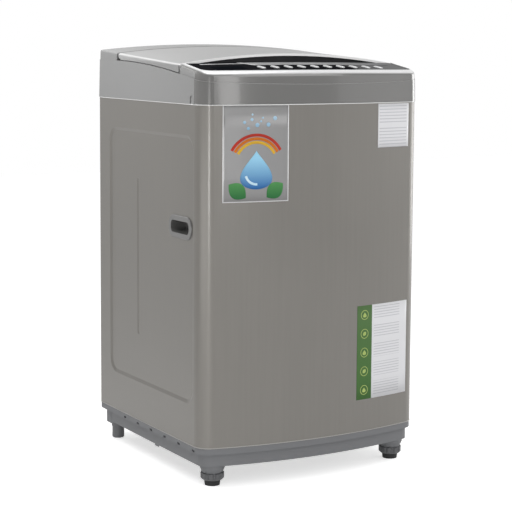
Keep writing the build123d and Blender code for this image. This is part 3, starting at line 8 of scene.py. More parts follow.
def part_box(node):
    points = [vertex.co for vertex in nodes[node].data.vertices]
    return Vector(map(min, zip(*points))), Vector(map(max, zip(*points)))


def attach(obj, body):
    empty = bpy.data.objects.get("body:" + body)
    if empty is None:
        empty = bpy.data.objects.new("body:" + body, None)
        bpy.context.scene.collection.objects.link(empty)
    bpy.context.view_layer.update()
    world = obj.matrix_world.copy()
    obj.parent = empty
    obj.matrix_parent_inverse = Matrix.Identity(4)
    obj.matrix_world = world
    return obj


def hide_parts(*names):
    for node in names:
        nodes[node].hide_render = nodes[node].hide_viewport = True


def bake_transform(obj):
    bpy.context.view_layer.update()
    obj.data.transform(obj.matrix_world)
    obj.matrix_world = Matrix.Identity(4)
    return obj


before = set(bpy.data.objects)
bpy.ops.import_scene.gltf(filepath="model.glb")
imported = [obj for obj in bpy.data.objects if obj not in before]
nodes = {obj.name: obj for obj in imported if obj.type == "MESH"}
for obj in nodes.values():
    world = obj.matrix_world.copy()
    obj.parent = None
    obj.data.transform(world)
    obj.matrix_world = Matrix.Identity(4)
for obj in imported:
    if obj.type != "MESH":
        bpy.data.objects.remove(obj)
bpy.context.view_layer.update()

# Studio: a pale floor that fades into a white backdrop, soft light from above and both sides, and a tall
# softbox in front that shows in the glossy apron. Two lamps low at the left make the streak down the
# cabinet's corner, and the fill is weaker on that side.

camera_data = bpy.data.cameras.new("product_camera")
camera = bpy.data.objects.new("product_camera", camera_data)
bpy.context.collection.objects.link(camera)
camera_place = Vector((-1.74004, -3.03565, 0.92792))
camera_yaw = math.radians(29.8113)
camera_pitch = math.radians(5.9978)
camera_roll = math.radians(0.3387)
forward = Vector((math.sin(camera_yaw) * math.cos(camera_pitch),
                  math.cos(camera_yaw) * math.cos(camera_pitch), -math.sin(camera_pitch)))
level_right = forward.cross(Vector((0, 0, 1))).normalized()
level_up = level_right.cross(forward)
camera_right = level_right * math.cos(camera_roll) + level_up * math.sin(camera_roll)
camera_up = level_up * math.cos(camera_roll) - level_right * math.sin(camera_roll)
camera.matrix_world = Matrix.Translation(camera_place) @ Matrix(
    (camera_right, camera_up, -forward)).transposed().to_4x4()
camera_data.sensor_width = 36.0
camera_data.lens = 109.541
camera_data.shift_y = -0.1
bpy.context.scene.camera = camera
bpy.context.scene.view_settings.view_transform = "Standard"

backdrop_level = 1.0
fill_level = 0.49
dark_side = 0.6
gloss_share = 0.6
floor_glow = 0.6
floor_size = 14.0
world = bpy.data.worlds.new("white_studio")
bpy.context.scene.world = world
world.use_nodes = True
world_nodes = world.node_tree.nodes
world_links = world.node_tree.links
background = world_nodes["Background"]
background.inputs["Color"].default_value = (1.0, 1.0, 1.0, 1.0)


def reckon(tree, operation, *values):
    """One step of arithmetic in a node tree, on numbers or on other nodes' outputs."""
    node = tree.nodes.new("ShaderNodeMath")
    node.operation = operation
    for socket, value in zip(node.inputs, values):
        if isinstance(value, float):
            socket.default_value = value
        else:
            tree.links.new(value, socket)
    return node.outputs[0]


def seen_directly(tree):
    """1 for rays that show the backdrop, in the camera or through glass, less in gloss, and 0 for light."""
    path = tree.nodes.new("ShaderNodeLightPath").outputs
    in_gloss = reckon(tree, "MULTIPLY", path["Is Glossy Ray"], gloss_share)
    in_view = reckon(tree, "MAXIMUM", path["Is Camera Ray"], in_gloss)
    return reckon(tree, "MAXIMUM", in_view, path["Is Transmission Ray"])


sky_place = world_nodes.new("ShaderNodeTexCoord")
sky_parts = world_nodes.new("ShaderNodeSeparateXYZ")
world_links.new(sky_place.outputs["Generated"], sky_parts.inputs[0])
sky_fall = world_nodes.new("ShaderNodeMapRange")
sky_fall.inputs["From Min"].default_value = -1.0
sky_fall.inputs["To Min"].default_value = dark_side * fill_level
sky_fall.inputs["To Max"].default_value = (2 - dark_side) * fill_level
world_links.new(sky_parts.outputs["X"], sky_fall.inputs["Value"])
backdrop_mix = world_nodes.new("ShaderNodeMapRange")
world_links.new(sky_fall.outputs["Result"], backdrop_mix.inputs["To Min"])
backdrop_mix.inputs["To Max"].default_value = backdrop_level
world_links.new(seen_directly(world.node_tree), backdrop_mix.inputs["Value"])
world_links.new(backdrop_mix.outputs["Result"], background.inputs["Strength"])

floor_mesh = bpy.data.meshes.new("studio_floor")
floor = bpy.data.objects.new("studio_floor", floor_mesh)
bpy.context.collection.objects.link(floor)
bm = bmesh.new()
bmesh.ops.create_grid(bm, x_segments=2, y_segments=2, size=floor_size / 2)
bm.to_mesh(floor_mesh)
bm.free()
floor_material = bpy.data.materials.new("pale_floor")
floor_material.use_nodes = True
floor_tree = floor_material.node_tree
floor_shader = floor_tree.nodes["Principled BSDF"]
floor_shader.inputs["Base Color"].default_value = (0.82, 0.82, 0.82, 1.0)
floor_shader.inputs["Roughness"].default_value = 0.9
floor_shader.inputs["Emission Color"].default_value = (1.0, 1.0, 1.0, 1.0)
glow_seen = reckon(floor_tree, "MULTIPLY", seen_directly(floor_tree), floor_glow)
floor_tree.links.new(glow_seen, floor_shader.inputs["Emission Strength"])
floor_mesh.materials.append(floor_material)


def softbox(name, place, target, width, height, power, roll=0.0, mirrored=True):
    """Rectangular light that faces a point, turned about its beam by a roll. Gloss shows it if mirrored."""
    data = bpy.data.lights.new(name, "AREA")
    data.shape = "RECTANGLE"
    data.size = width
    data.size_y = height
    data.energy = power
    lamp = bpy.data.objects.new(name, data)
    bpy.context.collection.objects.link(lamp)
    lamp.location = place
    lamp.visible_glossy = mirrored
    aim = (Vector(target) - Vector(place)).to_track_quat("-Z", "Y")
    lamp.rotation_euler = (aim @ Matrix.Rotation(roll, 3, "Z").to_quaternion()).to_euler()


softbox("overhead_light", (-0.4, -0.6, 3.2), (0, 0, 0.6), 2.6, 2.6, 19)
softbox("left_light", (-0.85, 0.15, 1.3), (-0.27, 0, 0.85), 0.4, 0.9, 7, mirrored=False)
softbox("front_light", (1.4, -3.6, 2.6), (0, 0, 0.4), 2.6, 2.2, 29)
softbox("right_light", (2.25, -0.1, 0.8), (0.27, -0.2, 0.8), 1.0, 1.2, 13)
softbox("rear_light", (-0.2, 2.6, 2.3), (0, 0, 0.9), 2.4, 0.5, 6)
softbox("corner_light", (-2.56, -4.1, 0.32), (-0.25, -0.25, 0.5), 0.4, 0.5, 24)
softbox("corner_glow", (-2.1, -1.0, 0.32), (-0.25, -0.25, 0.4), 1.6, 0.5, 5)
softbox("right_front_light", (2.6, -2.4, 0.9), (0.2, -0.25, 0.7), 1.6, 1.4, 3)
softbox("front_strip", (0.1, -4.0, 1.1), (-0.2, 0, 0.75), 0.4, 1.9, 6.5, roll=math.radians(5))

# Cabinet: one sheet of coated steel wrapped round the front, the sides and the rear corners. The coat is
# a satin metallic taupe with a faint upright drawing grain, clouded a little over the large faces.


def finish(name, colour, roughness, metallic=0.0):
    """New material with its plain values on the shader's own sockets."""
    made = bpy.data.materials.new(name)
    made.use_nodes = True
    shader = made.node_tree.nodes["Principled BSDF"]
    shader.inputs["Base Color"].default_value = (*colour, 1.0)
    shader.inputs["Roughness"].default_value = roughness
    shader.inputs["Metallic"].default_value = metallic
    return made


def group_socket(group, name, direction, kind, value=None):
    """Add an input or an output to a node group."""
    socket = group.interface.new_socket(name=name, in_out=direction, socket_type="NodeSocket" + kind)
    if value is not None:
        socket.default_value = value


def mottle_group():
    """Group that varies a colour and a roughness with a fine grain over a broad cloud."""
    group = bpy.data.node_groups.new("fine_mottle", "ShaderNodeTree")
    group_socket(group, "Colour", "INPUT", "Color", (0.5, 0.5, 0.5, 1.0))
    group_socket(group, "Roughness", "INPUT", "Float", 0.5)
    group_socket(group, "Grain Scale", "INPUT", "Float", 900.0)
    group_socket(group, "Grain Stretch", "INPUT", "Vector", (1.0, 1.0, 1.0))
    group_socket(group, "Cloud Scale", "INPUT", "Float", 4.0)
    group_socket(group, "Colour Spread", "INPUT", "Float", 0.06)
    group_socket(group, "Roughness Spread", "INPUT", "Float", 0.05)
    group_socket(group, "Colour", "OUTPUT", "Color")
    group_socket(group, "Roughness", "OUTPUT", "Float")
    group_socket(group, "Height", "OUTPUT", "Float")
    make = group.nodes.new
    link = group.links.new
    inside = make("NodeGroupInput")
    out = make("NodeGroupOutput")
    place = make("ShaderNodeTexCoord")
    grain = make("ShaderNodeTexNoise")
    grain.inputs["Detail"].default_value = 2.0
    cloud = make("ShaderNodeTexNoise")
    cloud.inputs["Detail"].default_value = 3.0
    drawn = make("ShaderNodeVectorMath")
    drawn.operation = "MULTIPLY"
    link(place.outputs["Object"], drawn.inputs[0])
    link(inside.outputs["Grain Stretch"], drawn.inputs[1])
    link(drawn.outputs[0], grain.inputs["Vector"])
    link(place.outputs["Object"], cloud.inputs["Vector"])
    link(inside.outputs["Grain Scale"], grain.inputs["Scale"])
    link(inside.outputs["Cloud Scale"], cloud.inputs["Scale"])
    both = reckon(group, "ADD", grain.outputs["Fac"], cloud.outputs["Fac"])
    centred = reckon(group, "SUBTRACT", both, 1.0)
    shade = reckon(group, "MULTIPLY_ADD", centred, inside.outputs["Colour Spread"], 1.0)
    shaded = make("ShaderNodeVectorMath")
    shaded.operation = "SCALE"
    link(inside.outputs["Colour"], shaded.inputs[0])
    link(shade, shaded.inputs["Scale"])
    rough = reckon(group, "MULTIPLY_ADD", centred, inside.outputs["Roughness Spread"],
                   inside.outputs["Roughness"])
    link(shaded.outputs[0], out.inputs["Colour"])
    link(rough, out.inputs["Roughness"])
    link(grain.outputs["Fac"], out.inputs["Height"])
    return group


fine_mottle = mottle_group()
relief_depth = 0.0004


def mottled(name, colour, roughness, metallic=0.0, grain=900.0, cloud=4.0, colour_spread=0.06,
            roughness_spread=0.05, bump=0.0, coat=0.0, coat_roughness=0.05, specular=0.5, stretch=(1, 1, 1)):
    """Material that carries the fine mottle in its colour, its gloss and, if asked, its surface."""
    made = finish(name, colour, roughness, metallic)
    tree = made.node_tree
    shader = tree.nodes["Principled BSDF"]
    shader.inputs["Coat Weight"].default_value = coat
    shader.inputs["Coat Roughness"].default_value = coat_roughness
    shader.inputs["Specular IOR Level"].default_value = specular
    mottle = tree.nodes.new("ShaderNodeGroup")
    mottle.node_tree = fine_mottle
    mottle.inputs["Colour"].default_value = (*colour, 1.0)
    mottle.inputs["Roughness"].default_value = roughness
    mottle.inputs["Grain Scale"].default_value = grain
    mottle.inputs["Grain Stretch"].default_value = stretch
    mottle.inputs["Cloud Scale"].default_value = cloud
    mottle.inputs["Colour Spread"].default_value = colour_spread
    mottle.inputs["Roughness Spread"].default_value = roughness_spread
    tree.links.new(mottle.outputs["Colour"], shader.inputs["Base Color"])
    tree.links.new(mottle.outputs["Roughness"], shader.inputs["Roughness"])
    if bump > 0:
        relief = tree.nodes.new("ShaderNodeBump")
        relief.inputs["Strength"].default_value = bump
        relief.inputs["Distance"].default_value = relief_depth
        tree.links.new(mottle.outputs["Height"], relief.inputs["Height"])
        tree.links.new(relief.outputs["Normal"], shader.inputs["Normal"])
    return made


def dress(material, *names):
    """Give CAD pieces a material."""
    for name in names:
        slots = nodes[name].data.materials
        slots.clear()
        slots.append(material)


cabinet_coat = mottled("satin_taupe_coat", (0.19, 0.181, 0.166), 0.4, metallic=0.5, grain=170.0, cloud=5.0,
                       colour_spread=0.1, roughness_spread=0.08, bump=0.03, coat=0.35, coat_roughness=0.16,
                       specular=0.3, stretch=(1, 1, 0.03))
dress(cabinet_coat, "cabinet_shell")

# Hand grips: dark grey moulded cups pushed into windows in the sides, glossy on their flanges, and the
# grommets of the same plastic that the hose and the lead would pass through at the back.

grip_plastic = mottled("grained_grey_cup", (0.1, 0.099, 0.096), 0.3, grain=1400.0, cloud=20.0,
                       roughness_spread=0.08, bump=0.06, coat=0.7)
dress(grip_plastic, "grip_left", "grip_right", "rear_grommets")

# Back of the machine: a zinc plated panel with pressed ribs and a louvred service cover, both held by
# cross-recess screws round their edges.

zinc_sheet = mottled("zinc_plate", (0.5, 0.505, 0.51), 0.38, metallic=0.9, grain=60.0, cloud=18.0,
                     colour_spread=0.22, roughness_spread=0.2, bump=0.02)
dress(zinc_sheet, "rear_panel", "service_cover", "corner_brackets", "drive_plate", "plate_spacers")


def link_mesh(bm, name, material, body=None, smooth=True):
    """Turn a bmesh into a piece, which rides on a body where one is named."""
    mesh = bpy.data.meshes.new(name)
    bm.to_mesh(mesh)
    bm.free()
    for polygon in mesh.polygons:
        polygon.use_smooth = smooth
    mesh.materials.append(material)
    piece = bpy.data.objects.new(name, mesh)
    bpy.context.collection.objects.link(piece)
    if body:
        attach(piece, body)
    return piece


screw_radius = 0.0042
screw_height = 0.0022
screw_cells = 7
recess_reach = 0.62 * screw_radius
recess_depth = 0.45 * screw_height


def picked(geom, kind):
    """The points, or the edges, in what an operator gives back."""
    return [item for item in geom if isinstance(item, kind)]


def add_screw(bm, place, outward):
    """One pan-head screw with a cross recess, facing outward."""
    made = bmesh.ops.create_grid(bm, x_segments=screw_cells, y_segments=screw_cells, size=screw_radius)
    head = made["verts"]
    for vert in head:
        x, y = vert.co.x / screw_radius, vert.co.y / screw_radius
        vert.co.x = screw_radius * x * math.sqrt(1 - y * y / 2)
        vert.co.y = screw_radius * y * math.sqrt(1 - x * x / 2)
        reach = min(1.0, (vert.co.x ** 2 + vert.co.y ** 2) / screw_radius ** 2)
        vert.co.z = screw_height * math.sqrt(max(0.0, 1 - reach ** 2))
    cross = []
    for face in dict.fromkeys(face for vert in head for face in vert.link_faces):
        near, far = sorted(abs(part) for part in face.calc_center_median().xy)
        if far < recess_reach and near < screw_radius / screw_cells:
            cross.append(face)
    sunk = bmesh.ops.extrude_face_region(bm, geom=cross)
    floor_verts = picked(sunk["geom"], bmesh.types.BMVert)
    bmesh.ops.delete(bm, geom=cross, context="FACES")
    bmesh.ops.translate(bm, vec=(0, 0, -recess_depth), verts=floor_verts)
    turn = Vector(outward).to_track_quat("Z", "Y").to_matrix().to_4x4()
    bmesh.ops.transform(bm, matrix=Matrix.Translation(place) @ turn, verts=head + floor_verts)


screw_zinc = mottled("screw_zinc", (0.55, 0.55, 0.54), 0.3, metallic=1.0, grain=300.0, cloud=80.0,
                     colour_spread=0.15, roughness_spread=0.15)
panel_low, panel_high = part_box("rear_panel")
cover_low, cover_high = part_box("service_cover")
seat = panel_high.y
cover_seat = seat + 0.001
cover_edge = 0.008
panel_edge = 0.025
panel_end = 0.03
screw_rows = 5
top_edge = 0.012
top_pitch = 0.12
backwards = (0, 1, 0)
bm = bmesh.new()
for row in range(screw_rows):
    share = row / (screw_rows - 1)
    height = panel_low.z + panel_end + share * (panel_high.z - panel_low.z - 2 * panel_end)
    for side in (-1, 1):
        add_screw(bm, (side * (panel_high.x - panel_edge), seat, height), backwards)
for column in (-1, 0, 1):
    add_screw(bm, (column * top_pitch, seat, panel_high.z - top_edge), backwards)
for column in (-1, 0, 1):
    for height in (cover_low.z + cover_edge, cover_high.z - cover_edge):
        add_screw(bm, (column * (cover_high.x - cover_edge), cover_seat, height), backwards)
back_screws = link_mesh(bm, "back_screws", screw_zinc, "machine", smooth=False)

# Labels: a silvered film with a white border and a printed water design at the left, a two-tone leaf green
# and white card low on the right, and a plain white slip under the top's right end. All lie on the bow.

cabinet_low, cabinet_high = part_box("cabinet_shell")
front_bow = 0.036
bow_radius = (cabinet_high.x ** 2 + front_bow ** 2) / (2 * front_bow)
film_thickness = 0.0002


def front_face(x):
    """Where the bowed front of the cabinet lies at a distance from its middle."""
    return cabinet_low.y + bow_radius - math.sqrt(bow_radius ** 2 - x ** 2)


def thicken(bm, outward, thickness):
    """Turn a flat drawing's faces outward and make a thin sheet of it."""
    bmesh.ops.recalc_face_normals(bm, faces=bm.faces)
    if sum(face.normal.dot(outward) for face in bm.faces) < 0:
        bmesh.ops.reverse_faces(bm, faces=bm.faces)
    bmesh.ops.solidify(bm, geom=bm.faces[:], thickness=thickness)


def stick(bm, name, material, middle, lift):
    """Lay a flat drawing, made round the origin in X and Y, on the cabinet's front."""
    for vert in bm.verts:
        x = middle[0] + vert.co.x
        vert.co = Vector((x, front_face(x) - lift, middle[1] + vert.co.y))
    thicken(bm, Vector((0, -1, 0)), film_thickness)
    piece = link_mesh(bm, name, material, "machine")


def card(width, height):
    """Flat rectangle with enough columns to follow the bow."""
    bm = bmesh.new()
    bmesh.ops.create_grid(bm, x_segments=24, y_segments=4, size=0.5)
    bmesh.ops.scale(bm, vec=(width, height, 1), verts=bm.verts)
    return bm


def frame_band_group():
    """Group that is 1 in a band along the edges of an upright rectangle."""
    group = bpy.data.node_groups.new("printed_border", "ShaderNodeTree")
    group_socket(group, "Middle", "INPUT", "Vector", (0.0, 0.0, 0.0))
    group_socket(group, "Half Width", "INPUT", "Float", 0.07)
    group_socket(group, "Half Height", "INPUT", "Float", 0.1)
    group_socket(group, "Band", "INPUT", "Float", 0.002)
    group_socket(group, "Mask", "OUTPUT", "Float")
    make = group.nodes.new
    link = group.links.new
    inside = make("NodeGroupInput")
    out = make("NodeGroupOutput")
    place = make("ShaderNodeTexCoord")
    offset = make("ShaderNodeVectorMath")
    offset.operation = "SUBTRACT"
    link(place.outputs["Object"], offset.inputs[0])
    link(inside.outputs["Middle"], offset.inputs[1])
    size = make("ShaderNodeVectorMath")
    size.operation = "ABSOLUTE"
    link(offset.outputs[0], size.inputs[0])
    parts = make("ShaderNodeSeparateXYZ")
    link(size.outputs[0], parts.inputs[0])
    beyond = []
    for axis, half in (("X", "Half Width"), ("Z", "Half Height")):
        inner = reckon(group, "SUBTRACT", inside.outputs[half], inside.outputs["Band"])
        beyond.append(reckon(group, "GREATER_THAN", parts.outputs[axis], inner))
    link(reckon(group, "MAXIMUM", *beyond), out.inputs["Mask"])
    return group


printed_border = frame_band_group()


def tint(made, mask, colour):
    """Carry a material's colour over into another one where a mask is 1."""
    tree = made.node_tree
    base = tree.nodes["Principled BSDF"].inputs["Base Color"]
    mix = tree.nodes.new("ShaderNodeMix")
    mix.data_type = "RGBA"
    mix.inputs["A"].default_value = base.default_value
    mix.inputs["B"].default_value = (*colour, 1.0)
    if base.is_linked:
        tree.links.new(base.links[0].from_socket, mix.inputs["A"])
    tree.links.new(mask, mix.inputs["Factor"])
    tree.links.new(mix.outputs["Result"], base)


def share_along(made, axis, start, end):
    """Mask that grows from 0 to 1 between two places along an axis of the piece."""
    tree = made.node_tree
    place = tree.nodes.new("ShaderNodeTexCoord")
    parts = tree.nodes.new("ShaderNodeSeparateXYZ")
    grow = tree.nodes.new("ShaderNodeMapRange")
    grow.inputs["From Min"].default_value = start
    grow.inputs["From Max"].default_value = end
    tree.links.new(place.outputs["Object"], parts.inputs[0])
    tree.links.new(parts.outputs[axis], grow.inputs["Value"])
    return grow.outputs["Result"]


film_size = (0.144, 0.2005)
film_middle = (-0.1535, 0.6985)
film_border = 0.0018
film_coat = 0.15
label_lift = 2 * film_thickness
film = finish("silvered_film", (0.26, 0.258, 0.258), 0.34, metallic=0.3)
film.node_tree.nodes["Principled BSDF"].inputs["Coat Weight"].default_value = film_coat
border = film.node_tree.nodes.new("ShaderNodeGroup")
border.node_tree = printed_border
border.inputs["Middle"].default_value = (film_middle[0], 0.0, film_middle[1])
border.inputs["Half Width"].default_value = film_size[0] / 2
border.inputs["Half Height"].default_value = film_size[1] / 2
border.inputs["Band"].default_value = film_border
tint(film, border.outputs["Mask"], (0.85, 0.85, 0.86))
stick(card(*film_size), "film_label", film, film_middle, label_lift)


def disc(radius, rings=6, steps=48):
    """Flat disc of rings, spun from a short row of points."""
    bm = bmesh.new()
    row = [bm.verts.new((radius * step / rings, 0, 0)) for step in range(rings + 1)]
    edges = [bm.edges.new(pair) for pair in zip(row, row[1:])]
    bmesh.ops.spin(bm, geom=row + edges, cent=(0, 0, 0), axis=(0, 0, 1), angle=2 * math.pi, steps=steps,
                   use_merge=True)
    bmesh.ops.remove_doubles(bm, verts=bm.verts, dist=1e-6)
    return bm


def arc_band(inner, outer, start, sweep, steps=36):
    """Flat band along an arc, with its ends cut square."""
    bm = bmesh.new()
    heading = Vector((math.cos(start), math.sin(start), 0))
    row = [bm.verts.new(heading * radius) for radius in (inner, (inner + outer) / 2, outer)]
    edges = [bm.edges.new(pair) for pair in zip(row, row[1:])]
    bmesh.ops.spin(bm, geom=row + edges, cent=(0, 0, 0), axis=(0, 0, 1), angle=sweep, steps=steps)
    return bm


drop_taper = 0.75
drop_fullness = 1.25


def drop(radius):
    """Water drop: a disc whose upper half draws in to a point."""
    bm = disc(radius)
    for vert in bm.verts:
        vert.co.x *= max(0.0, (1 - vert.co.y / radius) / 2) ** drop_taper * drop_fullness
    return bm


def leaf(length, width, lean):
    """Leaf: a disc drawn in to two points, then turned."""
    bm = disc(length / 2)
    for vert in bm.verts:
        along = vert.co.x / (length / 2)
        vert.co.y *= math.sqrt(max(0.0, 1 - along ** 2)) * width / length
    bmesh.ops.rotate(bm, cent=(0, 0, 0), matrix=Matrix.Rotation(lean, 3, "Z"), verts=bm.verts)
    return bm


ink_roughness = 0.45
ink_gloss = 0.15


def ink(name, low_colour, high_colour, low, high):
    """Printing ink that runs from one colour to another between two heights."""
    made = finish(name, low_colour, ink_roughness)
    made.node_tree.nodes["Principled BSDF"].inputs["Specular IOR Level"].default_value = ink_gloss
    tint(made, share_along(made, "Z", low, high), high_colour)
    return made


def on_film(right, up):
    """Place on the front at a distance from the film's middle."""
    return (film_middle[0] + right, film_middle[1] + up)


ink_lift = 3 * film_thickness
drop_middle = on_film(0, -0.034)
drop_radius = 0.040
drop_foot = drop_middle[1] - drop_radius
water_fade = (drop_foot, drop_middle[1] + 0.6 * drop_radius)
water_ink = ink("water_ink", (0.02, 0.12, 0.36), (0.32, 0.62, 0.82), *water_fade)
stick(drop(drop_radius), "printed_drop", water_ink, drop_middle, ink_lift)
shine_radii = (0.021, 0.026)
shine_start = math.radians(195)
shine_sweep = math.radians(80)
shine_drop = 0.04
shine_ink = ink("shine_ink", (0.45, 0.7, 0.86), (0.8, 0.9, 0.95), drop_foot, drop_middle[1])
shine = arc_band(*shine_radii, shine_start, shine_sweep)
stick(shine, "printed_shine", shine_ink, on_film(0, -shine_drop), ink_lift + film_thickness)

arc_radius = 0.063
arc_drop = 0.022
arc_width = 0.006
arc_pitch = 0.0075
arc_start = math.radians(28)
arc_sweep = math.radians(124)
arc_fade = (film_middle[1] - 0.03, film_middle[1] + 0.05)
arc_depth = 0.6
arc_colours = ((0.62, 0.05, 0.03), (0.78, 0.2, 0.02), (0.85, 0.5, 0.05))
for number, colour in enumerate(arc_colours):
    outer = arc_radius - arc_pitch * number
    deep_colour = tuple(arc_depth * part for part in colour)
    arc_ink = ink("arc_ink_%d" % number, colour, deep_colour, *arc_fade)
    band = arc_band(outer - arc_width, outer, arc_start, arc_sweep)
    stick(band, "printed_arc_%d" % number, arc_ink, on_film(0, -arc_drop), ink_lift)

leaf_size = (0.046, 0.034)
leaf_lean = math.radians(38)
leaf_out = 0.041
leaf_drop = 0.077
leaf_fade = (film_middle[1] - 0.095, film_middle[1] - 0.05)
leaf_ink = ink("leaf_ink", (0.02, 0.13, 0.04), (0.1, 0.32, 0.1), *leaf_fade)
for number, side in enumerate((-1, 1)):
    stick(leaf(*leaf_size, side * leaf_lean), "printed_leaf_%d" % number, leaf_ink,
          on_film(side * leaf_out, -leaf_drop), ink_lift)

bubble_count = 9
bubble_radii = (0.0022, 0.0033, 0.0044)
bubble_turn = 2.4
bubble_start, bubble_step = 0.008, 0.0035
bubble_wide, bubble_high = 1.2, 0.5
bubble_rise = 0.066
bubble_fade = (film_middle[1] + 0.04, film_middle[1] + 0.09)
bubble_ink = ink("bubble_ink", (0.2, 0.4, 0.58), (0.5, 0.66, 0.78), *bubble_fade)
for number in range(bubble_count):
    turn = number * bubble_turn
    spread = bubble_start + bubble_step * number
    place = on_film(bubble_wide * spread * math.cos(turn),
                    bubble_rise + bubble_high * spread * math.sin(turn))
    bubble = disc(bubble_radii[number % len(bubble_radii)], rings=2, steps=20)
    stick(bubble, "printed_bubble_%d" % number, bubble_ink, place, ink_lift)

rule_share = 0.3


def ruled_group():
    """Group that draws short printed rules across a card, in blocks with bare paper between them."""
    group = bpy.data.node_groups.new("printed_rules", "ShaderNodeTree")
    group_socket(group, "Left", "INPUT", "Float", 0.0)
    group_socket(group, "Right", "INPUT", "Float", 0.1)
    group_socket(group, "Bottom", "INPUT", "Float", 0.0)
    group_socket(group, "Pitch", "INPUT", "Float", 0.006)
    group_socket(group, "Block", "INPUT", "Float", 0.04)
    group_socket(group, "Filled", "INPUT", "Float", 0.5)
    group_socket(group, "Mask", "OUTPUT", "Float")
    make = group.nodes.new
    link = group.links.new
    inside = make("NodeGroupInput")
    out = make("NodeGroupOutput")
    place = make("ShaderNodeTexCoord")
    parts = make("ShaderNodeSeparateXYZ")
    link(place.outputs["Object"], parts.inputs[0])
    rise = reckon(group, "SUBTRACT", parts.outputs["Z"], inside.outputs["Bottom"])
    line = reckon(group, "FRACT", reckon(group, "DIVIDE", rise, inside.outputs["Pitch"]))
    line = reckon(group, "LESS_THAN", line, rule_share)
    block = reckon(group, "FRACT", reckon(group, "DIVIDE", rise, inside.outputs["Block"]))
    block = reckon(group, "LESS_THAN", block, inside.outputs["Filled"])
    past_left = reckon(group, "GREATER_THAN", parts.outputs["X"], inside.outputs["Left"])
    before_right = reckon(group, "LESS_THAN", parts.outputs["X"], inside.outputs["Right"])
    across = reckon(group, "MULTIPLY", past_left, before_right)
    link(reckon(group, "MULTIPLY", reckon(group, "MULTIPLY", line, block), across), out.inputs["Mask"])
    return group


printed_rules = ruled_group()


def ruled_paper(name, **rule_values):
    """White coated paper with pale grey rules."""
    made = finish(name, (0.7, 0.7, 0.72), 0.35)
    rules = made.node_tree.nodes.new("ShaderNodeGroup")
    rules.node_tree = printed_rules
    for socket, value in rule_values.items():
        rules.inputs[socket.title()].default_value = value
    tint(made, rules.outputs["Mask"], (0.5, 0.5, 0.53))
    return made


card_bottom, card_top = 0.156, 0.362
strip_left, strip_right, card_right = 0.095, 0.136, 0.240
card_middle = (card_bottom + card_top) / 2
card_height = card_top - card_bottom
strip_middle = (strip_left + strip_right) / 2
leaf_green = ink("leaf_green_ink", (0.06, 0.15, 0.038), (0.085, 0.165, 0.06), card_bottom, card_top)
stick(card(strip_right - strip_left, card_height), "card_strip", leaf_green, (strip_middle, card_middle),
      label_lift)
icon_count = 5
icon_pitch = card_height / icon_count
icon_radii = (0.0092, 0.0106)
icon_leaf = (0.011, 0.008, math.radians(45))
icon_drop = 0.0055
card_paper = ruled_paper("card_paper", left=strip_right + 0.006, right=card_right - 0.022,
                         bottom=card_bottom + 0.008, pitch=0.0058, block=icon_pitch, filled=0.72)
stick(card(card_right - strip_right, card_height), "card_paper", card_paper,
      ((strip_right + card_right) / 2, card_middle), label_lift)
pale_ink = finish("pale_ink", (0.36, 0.46, 0.12), ink_roughness)
for number in range(icon_count):
    middle = (strip_middle, card_bottom + (number + 0.5) * icon_pitch)
    stick(arc_band(*icon_radii, 0, 2 * math.pi), "icon_ring_%d" % number, pale_ink, middle, ink_lift)
    if number % 2:
        stick(leaf(*icon_leaf), "icon_leaf_%d" % number, pale_ink, middle, ink_lift)
    else:
        stick(drop(icon_drop), "icon_drop_%d" % number, pale_ink, middle, ink_lift)

slip_left, slip_right, slip_bottom, slip_top = 0.146, 0.237, 0.702, 0.796
slip_paper = ruled_paper("slip_paper", left=slip_left + 0.004, right=slip_right - 0.006,
                         bottom=slip_bottom + 0.006, pitch=0.0068, block=0.045, filled=0.9)
stick(card(slip_right - slip_left, slip_top - slip_bottom), "white_slip", slip_paper,
      ((slip_left + slip_right) / 2, (slip_bottom + slip_top) / 2), label_lift)

# Seam bead and hem: the rolled edge on which the top moulding sits down over the cabinet, and the edge at its
# foot. Both are thin strips that run round the bowed front, the corners and the sides, and both are coloured
# lighter than the cabinet as painted highlights along those edges.

bead_radius = 0.0011
bead_out = 0.0003
bead_drop = 0.0006
hem_radius = 0.0009
hem_out = 0.0001
hem_rise = 0.0012
corner_radius = 0.035
rear_corner = 0.012
strip_end = 0.002
strip_sides = 8
bow_steps = 40
corner_steps = 14


def ring_of(verts):
    """A closed row of points together with the edges between them."""
    return verts + list(dict.fromkeys(edge for vert in verts for edge in vert.link_edges))


def profile_ring(bm, radius, segments):
    """Small circle that stands across the X direction, at the origin."""
    verts = bmesh.ops.create_circle(bm, segments=segments, radius=radius)["verts"]
    bmesh.ops.rotate(bm, cent=(0, 0, 0), matrix=Matrix.Rotation(math.pi / 2, 3, "Y"), verts=verts)
    return ring_of(verts)


def around_front(bm, ring, out, level):
    """Sweep a ring from the middle of the front round one corner, and give back its last edges."""
    middle = (0, cabinet_low.y + bow_radius, level)
    reach = cabinet_high.x - corner_radius
    lead = math.asin(reach / (bow_radius - corner_radius))
    corner = (reach, middle[1] - math.sqrt((bow_radius - corner_radius) ** 2 - reach ** 2), level)
    verts = picked(ring, bmesh.types.BMVert)
    bmesh.ops.translate(bm, vec=(0, cabinet_low.y - out, level), verts=verts)
    bow = bmesh.ops.spin(bm, geom=ring, cent=middle, axis=(0, 0, 1), angle=lead, steps=bow_steps)
    turn = bmesh.ops.spin(bm, geom=bow["geom_last"], cent=corner, axis=(0, 0, 1), angle=math.pi / 2 - lead,
                          steps=corner_steps)
    return turn["geom_last"]


